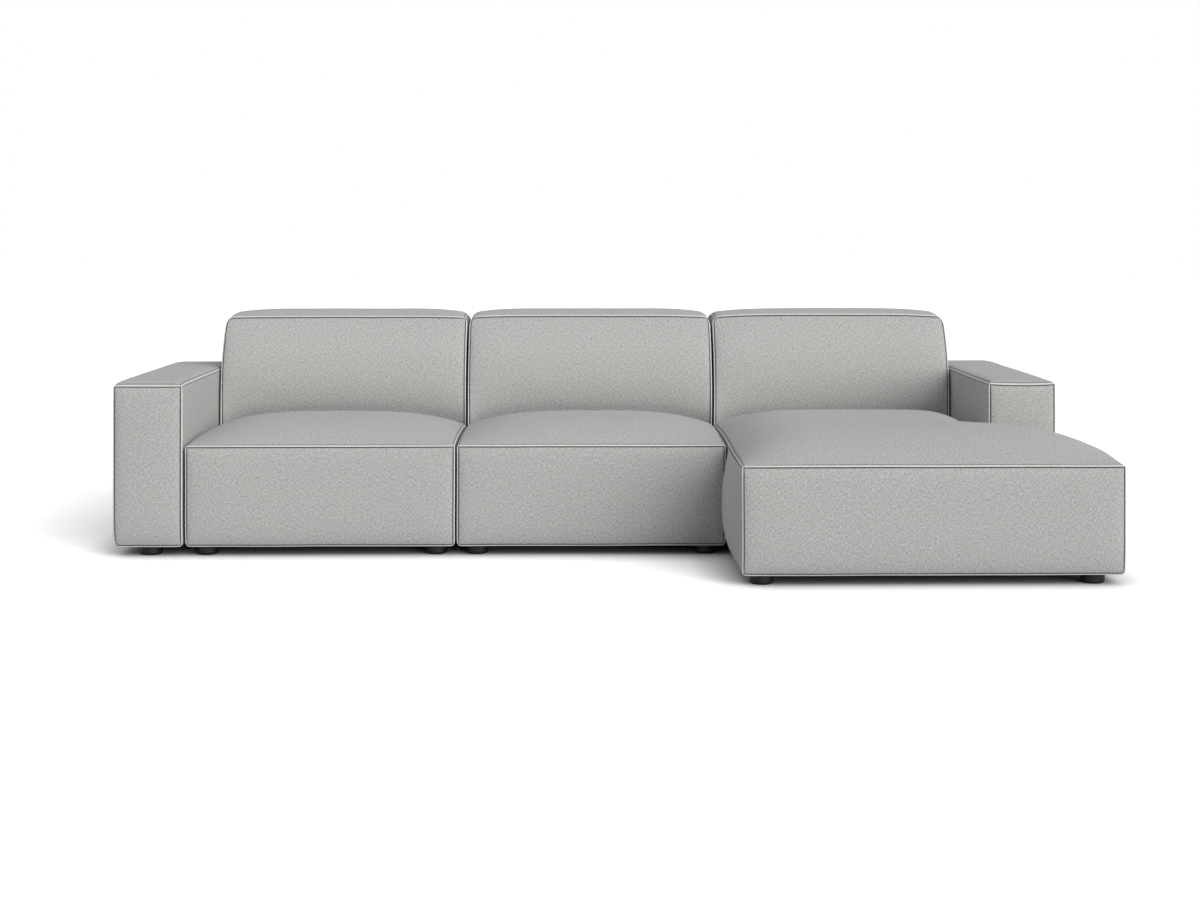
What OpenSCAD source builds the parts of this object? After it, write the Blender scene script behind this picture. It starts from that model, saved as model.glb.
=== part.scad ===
// Modular corner sofa: a left arm, two armless seats and a chaise with its own right arm.
// Each module stands on its own feet and drops onto steel pins under its neighbour's edge.
// X runs along the seats from left to right, Y from front to back and Z up from the floor.

/* [Modules] */
// Width of each of the two armless seats
seat_w = 922; // [720:1:1200]
// Depth of a seat block, from its front to the back block
seat_d = 660; // [560:1:760]
// Depth of a seat with its back, and of both arms
module_d = 1040; // [980:1:1300]
// Width of the chaise beside the right arm
chaise_seat_w = 892; // [760:1:1080]
// Width of the chaise in front of the right arm
chaise_front_w = 1207; // [1150:1:1500]
// Distance that the chaise reaches in front of the seats
chaise_reach = 566; // [420:1:800]
// Width of the left arm
arm_left_w = 236; // [210:1:320]
// Width of the right arm
arm_right_w = 231; // [210:1:320]
// Open gap between two neighbouring modules
module_gap = 5; // [3:1:12]
// Open gap between two blocks of one module
block_gap = 4; // [2:1:10]

/* [Heights] */
// Height of the feet, and so of the hems above the floor
foot_h = 32; // [26:1:60]
// Height of the seams round the seat tops
seat_h = 374; // [330:1:440]
// Height of the seams round the arm tops
arm_h = 584; // [540:1:680]
// Height of the seams round the back tops
back_h = 776; // [720:1:900]
// Distance that a back's top front seam sits behind the foot of that back
back_lean = 125; // [0:1:150]

/* [Padding] */
// Height of a seat's crown above its seams
seat_crown = 69; // [10:1:90]
// Share of the seat crown that is left where it meets the back
seat_crown_rear = 0.77; // [0.5:0.01:1]
// Height of the chaise's crown above its seams
chaise_crown = 96; // [10:1:120]
// Share of the chaise crown that is left where it meets the back
chaise_crown_rear = 0.48; // [0.3:0.01:1]
// Distance over which the chaise's crown rises from its left seam and from the arm
chaise_near_reach = 320; // [200:1:450]
// Distance over which the chaise's crown rises from its open front and right seams
chaise_open_reach = 550; // [300:1:700]
// Lift of the chaise's open right seam at the middle of its length
chaise_edge_lift = 18; // [0:1:30]
// Distance from an edge over which a seat crown rises
seat_crown_reach = 440; // [260:1:600]
// Lift of a seat's side seams at the middle of their length
seat_edge_lift = 10; // [0:1:20]
// Height of a back's crown above its seams
back_crown = 29; // [5:1:50]
// Distance from an edge over which a back crown rises
back_crown_reach = 260; // [120:1:400]
// Drop of the top seams at a back's two corners
back_corner_drop = 8; // [0:1:30]
// How far the sides of a back pull in at its two top corners
back_corner_in = 8; // [0:1:15]
// Length of a back's rounded corners
back_corner_len = 42; // [20:1:80]
// Height of an arm's crown above its seams
arm_crown = 12; // [0:1:30]
// Distance from an edge over which an arm's crown rises
arm_crown_reach = 45; // [20:1:110]
// Swell of the front faces of the seats and the arms
front_swell = 8; // [0:1:20]
// Swell of the chaise's front face
chaise_front_swell = 10; // [1:1:20]
// Swell of the chaise's open left face
chaise_left_swell = 38; // [0:1:45]
// Swell of the chaise's open right face
chaise_right_swell = 23; // [1:1:45]
// Swell of the outer faces of both arms
arm_swell = 3; // [1:1:20]
// Swell of the leaning front faces of the backs
back_swell = 15; // [0:1:25]
// Swell of the rear faces of the backs and arms
rear_swell = 6; // [1:1:20]
// Thickness of a cover with its wadding, at the seams
wadding = 14; // [8:1:24]
// Thickness of the foam round the frames
foam_wall = 25; // [12:1:30]
// Thickness of the foam in front of the back webbing
back_foam_t = 60; // [40:1:70]

/* [Frame] */
// Thickness of the frame boards
board = 24; // [18:1:30]
// Height of the seat frame rails
rail_h = 182; // [150:1:220]
// Height of the rails in the backs
back_rail_h = 70; // [50:1:90]
// Thickness of the board behind a back
rear_board_t = 4; // [3:0.5:8]
// Width of the blocks that hold the foot bolts
block_w = 64; // [56:1:76]
// Height of the blocks that hold the foot bolts
block_h = 60; // [50:1:80]
// Thickness of the dust cloth under each block
lining_t = 1; // [0.5:0.1:2]

/* [Suspension] */
// Thickness of the zig-zag spring wire
wire_t = 4; // [3:0.5:5]
// Sideways reach of each zig-zag
spring_reach = 24; // [16:1:30]
// Target distance between springs
spring_pitch = 120; // [100:1:200]
// Length of one zig-zag along the spring
zigzag_len = 62; // [50:1:90]
// Width of a spring clip
clip_w = 16; // [12:1:24]
// Thickness of a spring clip under and over the wire
clip_wall = 2; // [1.5:0.5:4]
// Width of the webbing straps in the backs
strap_w = 50; // [40:1:70]
// Thickness of the webbing straps
strap_t = 2; // [1:0.5:3]
// Target distance between straps
strap_pitch = 110; // [90:1:180]

/* [Feet and hardware] */
// Diameter of a foot
foot_d = 76; // [50:1:80]
// Radius of a foot's rounded lower edge
foot_round = 10; // [4:1:14]
// Distance of a foot's centre in from the side of its module
foot_in = 68; // [60:1:75]
// Distance of the chaise's front right foot's centre in from its side
chaise_foot_in = 89; // [60:1:95]
// Distance of a foot's centre in from the front and the rear
foot_back = 65; // [60:1:72]
// Diameter of the foot bolts
bolt_d = 8; // [6:1:10]
// Distance of the foot bolts' heads above the floor
bolt_recess = 4; // [2:0.5:8]
// Diameter of the foot bolts' heads
bolt_head_d = 16; // [12:1:18]
// Thickness of the foot bolts' heads
bolt_head_t = 5; // [4:1:8]
// Thickness of the steel plates under the blocks
plate_t = 3; // [2:0.5:4]
// Width of the steel plates under the blocks
plate_w = 60; // [50:1:80]
// Length of a foot bolt inside the frame
bolt_grip = 46; // [30:1:48]
// Diameter of the screws
screw_d = 4; // [3:0.5:5]
// Diameter of the screw heads
screw_head_d = 8; // [7:0.5:10]
// Thickness of the screw heads
screw_head_t = 2; // [1.5:0.5:3]
// Distance of a screw in from the long edge of its plate
screw_edge = 12; // [8:1:16]
// Distance that a plate reaches past its screws
plate_lap = 14; // [10:1:20]
// Length of a screw inside the frame
screw_grip = 20; // [12:1:40]
// Diameter of the pins that the modules drop onto
pin_d = 12; // [8:1:14]
// Length of the pins below their plates
pin_len = 12; // [8:1:16]
// Distance of a pin in from the side of its module
pin_in = 22; // [18:1:26]
// Clear space between pieces that only rest against each other
clearance = 0.3; // [0.2:0.05:0.5]
// Clear space round the pins in their holes
pin_clearance = 0.4; // [0.3:0.1:0.8]
// Clear space round the bolts and screws in their holes
bore_clearance = 0.05; // [0.05:0.01:0.2]

/* [Hidden] */
$fn = 48;

// Colours
fabric_colour = "#b5b4b1";
foam_colour = "#e9dfb8";
wood_colour = "#c9a878";
steel_colour = "#9a9da0";
cloth_colour = "#2d2d2d";
foot_colour = "#2b2b2b";
strap_colour = "#3f4650";

// Places of the modules along X and Y, with the whole sofa centred on the origin
sofa_w = arm_swell + arm_left_w + 2 * seat_w + 3 * module_gap + chaise_front_w + chaise_right_swell;
sofa_d = chaise_front_swell + chaise_reach + module_d + rear_swell;
arm_left_x = arm_swell - sofa_w / 2;
seat_left_x = arm_left_x + arm_left_w + module_gap;
seat_middle_x = seat_left_x + seat_w + module_gap;
chaise_x = seat_middle_x + seat_w + module_gap;
seats_y = chaise_front_swell + chaise_reach - sofa_d / 2;
// Places inside a module, counted from the left end of the seats' front
arm_right_x = chaise_seat_w + block_gap;
notch_y = -block_gap;
back_y = seat_d + block_gap;

// Heights of the layers
hem_z = foot_h;
frame_z = hem_z + lining_t;
rail_top = frame_z + rail_h;
clip_h = wire_t + 2 * clip_wall;
spring_z = rail_top + clip_wall;
seat_foam_z = rail_top + clip_h + clearance;
lean_z = (hem_z + back_h) / 2;
crest_z = seat_h + seat_edge_lift + seat_crown;
plate_z = hem_z - clearance - plate_t;
tongue_z = plate_z - clearance - plate_t;
screw_top = frame_z + screw_grip;
bolt_top = frame_z + bolt_grip;

// Radii of the bores, and places of a plate's screws either side of its middle
screw_bore = screw_d / 2 + bore_clearance;
bolt_bore = bolt_d / 2 + bore_clearance;
screw_sides = [screw_edge - plate_w / 2, plate_w / 2 - screw_edge];

// Insets of the layers from the outer faces
foam_in = wadding + clearance;
frame_in = foam_in + foam_wall + clearance;
rail_mid = frame_in + board / 2;
strap_in = foam_in + back_foam_t + clearance;
back_frame_in = strap_in + strap_t + clearance;
cross_w = 2 * clip_w + clip_wall;

// How sharply crowns, swells, corners and the lean of the backs change along their length
crown_power = 3.3;
swell_power = 2.5;
corner_power = 2;
lean_power = 3;
// Distances in from an edge at which a padded surface has grid lines
edge_steps = [0, 14, 45, 95, 165, 260];
near_steps = [0, 14, 45, 95, 165];
rear_steps = [0, 60, 130];
back_steps = [0, 10, 25, 45, 80, 130, 190, 260];
small_steps = [0, 8, 20, 45];
// Shares of a wall's height at which it has grid lines, from the top down
wall_shares = [0.86, 0.5, 0.2, 0];
chaise_shares = [0.93, 0.8, 0.65, 0.5, 0.35, 0.2, 0.07, 0];
lean_shares = [0.94, 0.85, 0.75, 0.63, 0.5, 0.25];

// Share of its full height that a crown has reached at a distance in from its edge
function rise(d, reach) = 1 - pow(1 - min(1, max(0, d) / reach), crown_power);

// Share of its full size that a swell has at p, with none at the ends a and b
function swell(p, a, b) =
    p <= a || p >= b ? 0 : 1 - pow(abs(2 * (p - a) / (b - a) - 1), swell_power);

// Grid lines from a to b, close together near the ends
function grid_lines(a, b, steps_a, steps_b) =
    let (last_a = a + steps_a[len(steps_a) - 1], last_b = b - steps_b[len(steps_b) - 1])
    concat(
        [for (s = steps_a) a + s],
        [(last_a + last_b) / 2],
        [for (i = [len(steps_b) - 1:-1:0]) b - steps_b[i]]
    );

// Heights of a wall's grid lines below its top edge
function wall_levels(top_z, shares) = [for (s = shares) hem_z + s * (top_z - hem_z)];

// Share of a crown that is left past its peak on the way to the back
function rear_fall(y, peak, share) =
    1 - (1 - share) * pow(max(0, y - peak) / (seat_d - peak), 2);

// Height of a seat's top
function seat_top(x, y) =
    seat_h + seat_edge_lift * swell(y, 0, seat_d)
    + seat_crown * rise(x, seat_crown_reach) * rise(seat_w - x, seat_crown_reach)
    * rise(y, seat_crown_reach) * rear_fall(y, 0.58 * seat_d, seat_crown_rear);

// Height of the chaise's top, which falls to its seams round the arm's notch too
function chaise_top(x, y) =
    let (to_notch = norm([max(0, chaise_seat_w - x), max(0, notch_y - y)]))
    seat_h + seat_edge_lift * swell(y, 0, seat_d)
    + chaise_edge_lift * swell(y, -chaise_reach, notch_y) * x / chaise_front_w
    + chaise_crown * rise(x, chaise_near_reach) * rise(chaise_front_w - x, chaise_open_reach)
    * rise(to_notch, chaise_near_reach) * rise(y + chaise_reach, chaise_open_reach)
    * rear_fall(y, 0, chaise_crown_rear);

// Height of a back's top of width w, at the share t of its depth
function back_top(x, t, w) =
    let (d = min(x, w - x))
    back_h - back_corner_drop * pow(1 - min(1, d / back_corner_len), corner_power)
    + back_crown * rise(d, back_crown_reach) * swell(t, 0, 1);

// Height of an arm's top of width w
function arm_top(x, y, w) =
    arm_h + arm_crown * rise(min(x, w - x), arm_crown_reach)
    * rise(min(y, module_d - y), arm_crown_reach);

// Share of the lean's height that lies below z
function lean_share(z) = max(0, min(z, back_h) - lean_z) / (back_h - lean_z);

// Y of a back's curved front face at the height z, with no swell
function back_face(z) = back_y + back_lean * pow(lean_share(z), lean_power);

// Y at the height z of the plane that the frame and webbing of a back lean along
function back_front(z) = back_y + back_lean * lean_share(z);

// How far a back's sides pull in at the height z, near its top corners
function corner_in(z) =
    back_corner_in * pow(1 - min(1, max(0, back_h - z) / back_corner_len), corner_power);

// Cells of a grid's rim, counter-clockwise from its front left corner, round a missing rear right
// corner that starts at the grid lines ni and nj
function rim_cells(nx, ny, ni, nj) = [
    for (i = [0:1:nx - 2]) [i, 0],
    for (j = [0:1:nj - 1]) [nx - 1, j],
    for (i = [nx - 1:-1:ni + 1]) [i, nj],
    for (j = [nj:1:ny - 2]) [ni, j],
    for (i = [ni:-1:1]) [i, ny - 1],
    for (j = [ny - 1:-1:1]) [0, j],
];

// Padded block over the grid xs by ys. top gives the height of its top at x and y, push the swell
// of its walls at x, y and z, and place the final point. Its walls have grid lines at levels
module padded_block(xs, ys, levels, top, push, place, ni, nj) {
    nx = len(xs);
    ny = len(ys);
    rim = rim_cells(nx, ny, ni, nj);
    n = len(rim);
    function top_index(i, j) = j * nx + i;
    function wall_index(level, k) =
        let (cell = rim[k % n])
        level == 0 ? top_index(cell.x, cell.y) : nx * ny + (level - 1) * n + k % n;
    centre = [xs[0] + (xs[ni] - xs[0]) / 2, ys[0] + (ys[nj] - ys[0]) / 2];
    points = concat(
        [for (y = ys) for (x = xs) place(x, y, top(x, y))],
        [for (z = levels) for (cell = rim)
            let (x = xs[cell.x], y = ys[cell.y])
            place(x, y, z) + push(x, y, z)],
        [place(centre.x, centre.y, hem_z)]
    );
    faces = concat(
        [for (j = [0:1:ny - 2]) for (i = [0:1:nx - 2]) if (i < ni || j < nj) each [
            [top_index(i, j), top_index(i, j + 1), top_index(i + 1, j + 1)],
            [top_index(i, j), top_index(i + 1, j + 1), top_index(i + 1, j)]
        ]],
        [for (level = [0:1:len(levels) - 1]) for (k = [0:1:n - 1]) each [
            [wall_index(level, k), wall_index(level, k + 1), wall_index(level + 1, k + 1)],
            [wall_index(level, k), wall_index(level + 1, k + 1), wall_index(level + 1, k)]
        ]],
        [for (k = [0:1:n - 1])
            [len(points) - 1, wall_index(len(levels), k), wall_index(len(levels), k + 1)]]
    );
    polyhedron(points, faces);
}

// Outline of a seat block, inset from its outer faces. front_w is the width of its front part,
// which starts at front_y
function seat_outline(w, front_w, front_y, inset) =
    front_w == w
    ? [[inset, front_y + inset], [w - inset, front_y + inset], [w - inset, seat_d - inset],
        [inset, seat_d - inset]]
    : [[inset, front_y + inset], [front_w - inset, front_y + inset],
        [front_w - inset, notch_y - inset], [w - inset, notch_y - inset],
        [w - inset, seat_d - inset], [inset, seat_d - inset]];

// Slab with the given outline from z0 to z1
module slab(outline, z0, z1) {
    translate([0, 0, z0]) linear_extrude(z1 - z0) polygon(outline);
}

// Upright bores with radius r through every given point from z0 to z1
module bores(places, r, z0, z1) {
    for (p = places) translate([p.x, p.y, z0]) cylinder(r = r, h = z1 - z0);
}

// Places of the screws of one steel plate, in pairs along its length
function plate_screws(from, to, turned) =
    [for (at = [from, to]) for (s = screw_sides) at + (turned ? [0, s] : [s, 0])];

// Steel plate under two blocks, with bores for its screws. turned is true where it lies along X
module joining_plate(from, to, turned) {
    size = turned
        ? [to.x - from.x + 2 * plate_lap, plate_w] : [plate_w, to.y - from.y + 2 * plate_lap];
    corner = turned
        ? [from.x - plate_lap, from.y - plate_w / 2] : [from.x - plate_w / 2, from.y - plate_lap];
    difference() {
        translate([corner.x, corner.y, plate_z]) cube([size.x, size.y, plate_t]);
        bores(plate_screws(from, to, turned), screw_bore, plate_z - 1, plate_z + plate_t + 1);
    }
}

// Screws whose heads lie against the underside z of a plate
module screws(places, z) {
    for (p = places) translate([p.x, p.y, 0]) {
        translate([0, 0, z - screw_head_t]) cylinder(d = screw_head_d, h = screw_head_t);
        translate([0, 0, z - screw_head_t]) cylinder(d = screw_d, h = screw_top - z + screw_head_t);
    }
}

// Round feet with a rounded lower edge and a counterbore for the bolt's head
module feet(places) {
    for (p = places) translate([p.x, p.y, 0]) difference() {
        rotate_extrude() union() {
            square([foot_d / 2 - foot_round, foot_h]);
            translate([0, foot_round]) square([foot_d / 2, foot_h - foot_round]);
            translate([foot_d / 2 - foot_round, foot_round]) circle(foot_round);
        }
        translate([0, 0, -1]) cylinder(r = bolt_bore, h = foot_h + 2);
        translate([0, 0, -1]) cylinder(d = bolt_head_d + 2, h = bolt_recess + bolt_head_t + 1);
    }
}

// Bolts that hold the feet, with their heads up in the feet's counterbores
module foot_bolts(places) {
    for (p = places) translate([p.x, p.y, bolt_recess]) {
        cylinder(d = bolt_head_d, h = bolt_head_t);
        cylinder(d = bolt_d, h = bolt_top - bolt_recess);
    }
}

// Cover of a seat block, with the hollow for its foam and frame
module seat_cover() {
    xs = grid_lines(0, seat_w, edge_steps, edge_steps);
    ys = grid_lines(0, seat_d, edge_steps, rear_steps);
    difference() {
        padded_block(
            xs, ys, wall_levels(seat_h, wall_shares),
            function(x, y) seat_top(x, y),
            function(x, y, z)
                [0, y == 0 ? -front_swell * swell(x, 0, seat_w) * swell(z, hem_z, seat_h) : 0, 0],
            function(x, y, z) [x, y, z],
            len(xs) - 1, len(ys) - 1
        );
        slab(seat_outline(seat_w, seat_w, 0, wadding), hem_z - 1, seat_h - wadding);
    }
}

// Swell of the chaise's open walls. It has none along the seat beside it and the arm behind it
function chaise_push(x, y, z) =
    let (up = swell(z, hem_z, seat_h), along = swell(y, -chaise_reach, notch_y))
    [
        x == 0 ? -chaise_left_swell * along * up
            : x == chaise_front_w ? chaise_right_swell * along * up : 0,
        y == -chaise_reach ? -chaise_front_swell * swell(x, 0, chaise_front_w) * up : 0,
        0
    ];

// Cover of the chaise, L-shaped round the foot of the right arm
module chaise_padding() {
    overhang = chaise_front_w - chaise_seat_w;
    // Lines up to the middle of the front, then up to the notch, then over the part in front of it
    x_left = [for (x = grid_lines(0, chaise_front_w, edge_steps, edge_steps))
        if (x <= chaise_front_w / 2) x];
    x_notch = [for (s = [0.3, 0.55, 0.75, 0.9, 1])
        chaise_front_w / 2 + s * (chaise_seat_w - chaise_front_w / 2)];
    x_right = [for (s = [0.2, 0.4, 0.6, 0.8, 0.93, 1]) chaise_seat_w + s * overhang];
    xs = concat(x_left, x_notch, x_right);
    y_front = grid_lines(-chaise_reach, notch_y, near_steps, near_steps);
    y_rear = [for (s = [0.1, 0.25, 0.4, 0.55, 0.7, 0.85, 1]) seat_d * s];
    ys = concat(y_front, y_rear);
    difference() {
        padded_block(
            xs, ys, wall_levels(seat_h, chaise_shares),
            function(x, y) chaise_top(x, y),
            function(x, y, z) chaise_push(x, y, z),
            function(x, y, z) [x, y, z],
            len(x_left) + len(x_notch) - 1, len(y_front) - 1
        );
        slab(seat_outline(chaise_seat_w, chaise_front_w, -chaise_reach, wadding),
            hem_z - 1, seat_h - wadding);
    }
}

// Foam over and round the frame of a seat block
module seat_block_foam(w, front_w, front_y) {
    difference() {
        slab(seat_outline(w, front_w, front_y, foam_in), frame_z, seat_h - foam_in);
        slab(seat_outline(w, front_w, front_y, frame_in - clearance), frame_z - 1, seat_foam_z);
    }
}

// Dust cloth under a seat block, with holes for the bolts and screws
module seat_block_cloth(w, front_w, front_y, bolts, screw_places) {
    difference() {
        slab(seat_outline(w, front_w, front_y, foam_in), hem_z, frame_z);
        bores(bolts, bolt_bore, hem_z - 1, frame_z + 1);
        bores(screw_places, screw_bore, hem_z - 1, frame_z + 1);
    }
}

// Block of wood over each foot, square to the frame
module bolt_blocks(places) {
    for (p = places)
        translate([p.x - block_w / 2, p.y - block_w / 2, frame_z]) cube([block_w, block_w, block_h]);
}

// Ring of rails under a seat. cross is true where a rail divides the ring at the notch
module seat_block_frame(w, front_w, front_y, cross, bolts, screw_places) {
    difference() {
        union() {
            difference() {
                slab(seat_outline(w, front_w, front_y, frame_in), frame_z, rail_top);
                slab(seat_outline(w, front_w, front_y, frame_in + board), frame_z - 1, rail_top + 1);
            }
            intersection() {
                bolt_blocks(bolts);
                slab(seat_outline(w, front_w, front_y, frame_in), frame_z, rail_top);
            }
            if (cross)
                translate([frame_in, notch_y - frame_in - cross_w, frame_z])
                    cube([front_w - 2 * frame_in, cross_w, rail_h]);
        }
        bores(bolts, bolt_bore, frame_z - 1, frame_z + block_h + 1);
        bores(screw_places, screw_bore, frame_z - 1, screw_top + 1);
    }
}

// Centres of a row of pieces with about the given pitch, evenly spread from a to b
function spread(a, b, pitch) =
    let (n = max(2, floor((b - a) / pitch)))
    [for (i = [0:1:n - 1]) a + (b - a) * (i + 0.5) / n];

// Unit vector from point a to point b
function direction(a, b) = (b - a) / norm(b - a);

// Edge of a strip along a line of points, at the signed distance half from it
function strip_edge(line, half) = [
    for (i = [0:1:len(line) - 1])
        let (
            k = max(i, 1),
            m = min(i + 1, len(line) - 1),
            before = direction(line[k - 1], line[k]),
            after = direction(line[m - 1], line[m]),
            n1 = [-before.y, before.x],
            n2 = [-after.y, after.x]
        )
        line[i] + half * (n1 + n2) / (1 + n1 * n2)
];

// Flat zig-zag spring from y0 to y1
module zigzag_spring(y0, y1) {
    straight = clip_w + 4;
    steps = 6;
    waves = floor((y1 - y0 - 2 * straight) / zigzag_len);
    run = (y1 - y0 - 2 * straight) / (waves * steps);
    line = concat(
        [[0, y0]],
        [for (i = [0:1:waves * steps]) [spring_reach * sin(360 * i / steps), y0 + straight + i * run]],
        [[0, y1]]
    );
    half = wire_t / 2;
    edge = strip_edge(line, -half);
    linear_extrude(wire_t)
        polygon(concat(strip_edge(line, half), [for (i = [len(edge) - 1:-1:0]) edge[i]]));
}

// Row of springs at the given places along X, between the middles of the rails at y0 and y1
module spring_row(places, y0, y1) {
    for (x = places) translate([x, 0, spring_z]) zigzag_spring(y0, y1);
}

// Clips that hold the ends of a row of springs on top of the rails at y0 and y1
module clip_row(places, y0, y1) {
    tunnel = wire_t + 2 * clearance;
    for (x = places) for (y = [y0, y1]) difference() {
        translate([x - clip_w / 2, y - clip_w / 2, rail_top]) cube([clip_w, clip_w, clip_h]);
        translate([x - tunnel / 2, y - clip_w / 2 - 1, spring_z - clearance])
            cube([tunnel, clip_w + 2, tunnel]);
    }
}

// Side view of a back block, front_in behind the plane that its frame leans along, and inset from
// its other faces
function back_outline(front_in, inset, z0) = [
    [back_front(z0) + front_in, z0], [back_front(lean_z) + front_in, lean_z],
    [back_front(back_h - inset) + front_in, back_h - inset],
    [module_d - inset, back_h - inset], [module_d - inset, z0]
];

// Side view of a back block's padding, inset from its faces, whose front follows the curved face
function back_padding_outline(inset, z0) = concat(
    [[back_y + inset, z0]],
    [for (s = [0:0.2:1])
        let (z = lean_z + s * (back_h - inset - lean_z)) [back_face(z) + inset, z]],
    [[module_d - inset, back_h - inset], [module_d - inset, z0]]
);

// Strip of a back's side view from height z0 to z1, from the inset a to the inset b
function back_strip(a, b, z0, z1) =
    z0 < lean_z && z1 > lean_z
    ? [[back_front(z0) + a, z0], [back_front(lean_z) + a, lean_z], [back_front(z1) + a, z1],
        [back_front(z1) + b, z1], [back_front(lean_z) + b, lean_z], [back_front(z0) + b, z0]]
    : [[back_front(z0) + a, z0], [back_front(z1) + a, z1], [back_front(z1) + b, z1],
        [back_front(z0) + b, z0]];

// Plate with the given side view, from x0 to x1
module side_slab(outline, x0, x1) {
    translate([x0, 0, 0]) rotate([90, 0, 90]) linear_extrude(x1 - x0) polygon(outline);
}

// Cover of a back block of width w, with the hollow for its foam and frame
module back_padding(w) {
    xs = grid_lines(0, w, back_steps, back_steps);
    ts = [0, 0.12, 0.28, 0.5, 0.72, 0.88, 1];
    levels = concat(wall_levels(back_h, lean_shares), [hem_z]);
    difference() {
        padded_block(
            xs, ts, levels,
            function(x, t) back_top(x, t, w),
            function(x, t, z) [
                0,
                t == 0 ? -back_swell * swell(x, 0, w) * swell(z, crest_z, back_h)
                    : t == 1 ? rear_swell * swell(x, 0, w) * swell(z, hem_z, back_h) : 0,
                0
            ],
            function(x, t, z)
                [x + corner_in(z) * (1 - 2 * x / w), back_face(z) + t * (module_d - back_face(z)), z],
            len(xs) - 1, len(ts) - 1
        );
        side_slab(back_padding_outline(wadding, hem_z - 1), wadding, w - wadding);
    }
}

// Foam shell round the frame of a back of width w
module back_foam(w) {
    inner = frame_in - clearance;
    difference() {
        side_slab(back_padding_outline(foam_in, frame_z), foam_in, w - foam_in);
        side_slab(back_outline(strap_in - clearance, inner, frame_z - 1), inner, w - inner);
    }
}

// Frame of a back of width w: two side panels, three rails in front and a thin board behind
module back_frame(w, bolts, screw_places) {
    front_rail = [back_frame_in, back_frame_in + board];
    top_z = back_h - frame_in;
    difference() {
        union() {
            for (x = [frame_in, w - frame_in - board])
                side_slab(back_outline(back_frame_in, frame_in, frame_z), x, x + board);
            for (z = [[frame_z, frame_z + back_rail_h], [seat_h - back_rail_h, seat_h],
                    [top_z - back_rail_h, top_z]])
                side_slab(back_strip(front_rail[0], front_rail[1], z[0], z[1]), frame_in, w - frame_in);
            translate([frame_in, module_d - frame_in - rear_board_t, frame_z])
                cube([w - 2 * frame_in, rear_board_t, top_z - frame_z]);
            intersection() {
                bolt_blocks(bolts);
                translate([frame_in, 0, frame_z])
                    cube([w - 2 * frame_in, module_d - frame_in, block_h]);
            }
        }
        bores(bolts, bolt_bore, frame_z - 1, frame_z + block_h + 1);
        bores(screw_places, screw_bore, frame_z - 1, screw_top + 1);
    }
}

// Elastic straps in front of a back's frame of width w
module back_webbing(w) {
    for (x = spread(frame_in + board, w - frame_in - board, strap_pitch))
        side_slab(
            back_strip(strap_in, strap_in + strap_t, seat_h - back_rail_h / 2,
                back_h - frame_in - back_rail_h / 4),
            x - strap_w / 2, x + strap_w / 2
        );
}

// Cloth under the open bottom of a back of width w
module back_cloth(w, bolts, screw_places) {
    difference() {
        translate([foam_in, back_y + foam_in, hem_z])
            cube([w - 2 * foam_in, module_d - back_y - 2 * foam_in, lining_t]);
        bores(bolts, bolt_bore, hem_z - 1, frame_z + 1);
        bores(screw_places, screw_bore, hem_z - 1, frame_z + 1);
    }
}

// Cover of an arm of width w, whose front face swells above the height open_z. outer is -1 where
// its open side is the left one, and 1 for the right
module arm_padding(w, outer, open_z) {
    xs = grid_lines(0, w, small_steps, small_steps);
    ys = grid_lines(0, module_d, edge_steps, edge_steps);
    open_x = outer < 0 ? 0 : w;
    difference() {
        padded_block(
            xs, ys, wall_levels(arm_h, wall_shares),
            function(x, y) arm_top(x, y, w),
            function(x, y, z)
                let (up = swell(z, hem_z, arm_h))
                [
                    x == open_x ? outer * arm_swell * swell(y, 0, module_d) * up : 0,
                    y == 0 ? -front_swell * swell(x, 0, w) * swell(z, open_z, arm_h)
                        : y == module_d ? rear_swell * swell(x, 0, w) * up : 0,
                    0
                ],
            function(x, y, z) [x, y, z],
            len(xs) - 1, len(ys) - 1
        );
        translate([wadding, wadding, hem_z - 1])
            cube([w - 2 * wadding, module_d - 2 * wadding, arm_h - wadding - hem_z + 1]);
    }
}

// Box with the plan of an arm of width w, inset from its outer faces, from z0 to z1
module arm_box(w, inset, z0, z1) {
    translate([inset, inset, z0]) cube([w - 2 * inset, module_d - 2 * inset, z1 - z0]);
}

// Foam round the frame of an arm of width w
module arm_foam(w) {
    difference() {
        arm_box(w, foam_in, frame_z, arm_h - foam_in);
        arm_box(w, frame_in - clearance, frame_z - 1, arm_h - frame_in + clearance);
    }
}

// Frame of an arm of width w: a box of boards, open below, with a block over each foot
module arm_frame(w, bolts, screw_places) {
    difference() {
        union() {
            difference() {
                arm_box(w, frame_in, frame_z, arm_h - frame_in);
                arm_box(w, frame_in + board, frame_z - 1, arm_h - frame_in - board);
            }
            for (p = bolts)
                translate([frame_in, p.y - block_w / 2, frame_z])
                    intersection() {
                        cube([w - 2 * frame_in, block_w, block_h]);
                        translate([0, frame_in - p.y + block_w / 2, 0])
                            cube([w - 2 * frame_in, module_d - 2 * frame_in, block_h]);
                    }
        }
        bores(bolts, bolt_bore, frame_z - 1, frame_z + block_h + 1);
        bores(screw_places, screw_bore, frame_z - 1, screw_top + 1);
    }
}

// Dust cloth under an arm of width w
module arm_cloth(w, bolts, screw_places) {
    difference() {
        arm_box(w, foam_in, hem_z, frame_z);
        bores(bolts, bolt_bore, hem_z - 1, frame_z + 1);
        bores(screw_places, screw_bore, hem_z - 1, frame_z + 1);
    }
}

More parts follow.
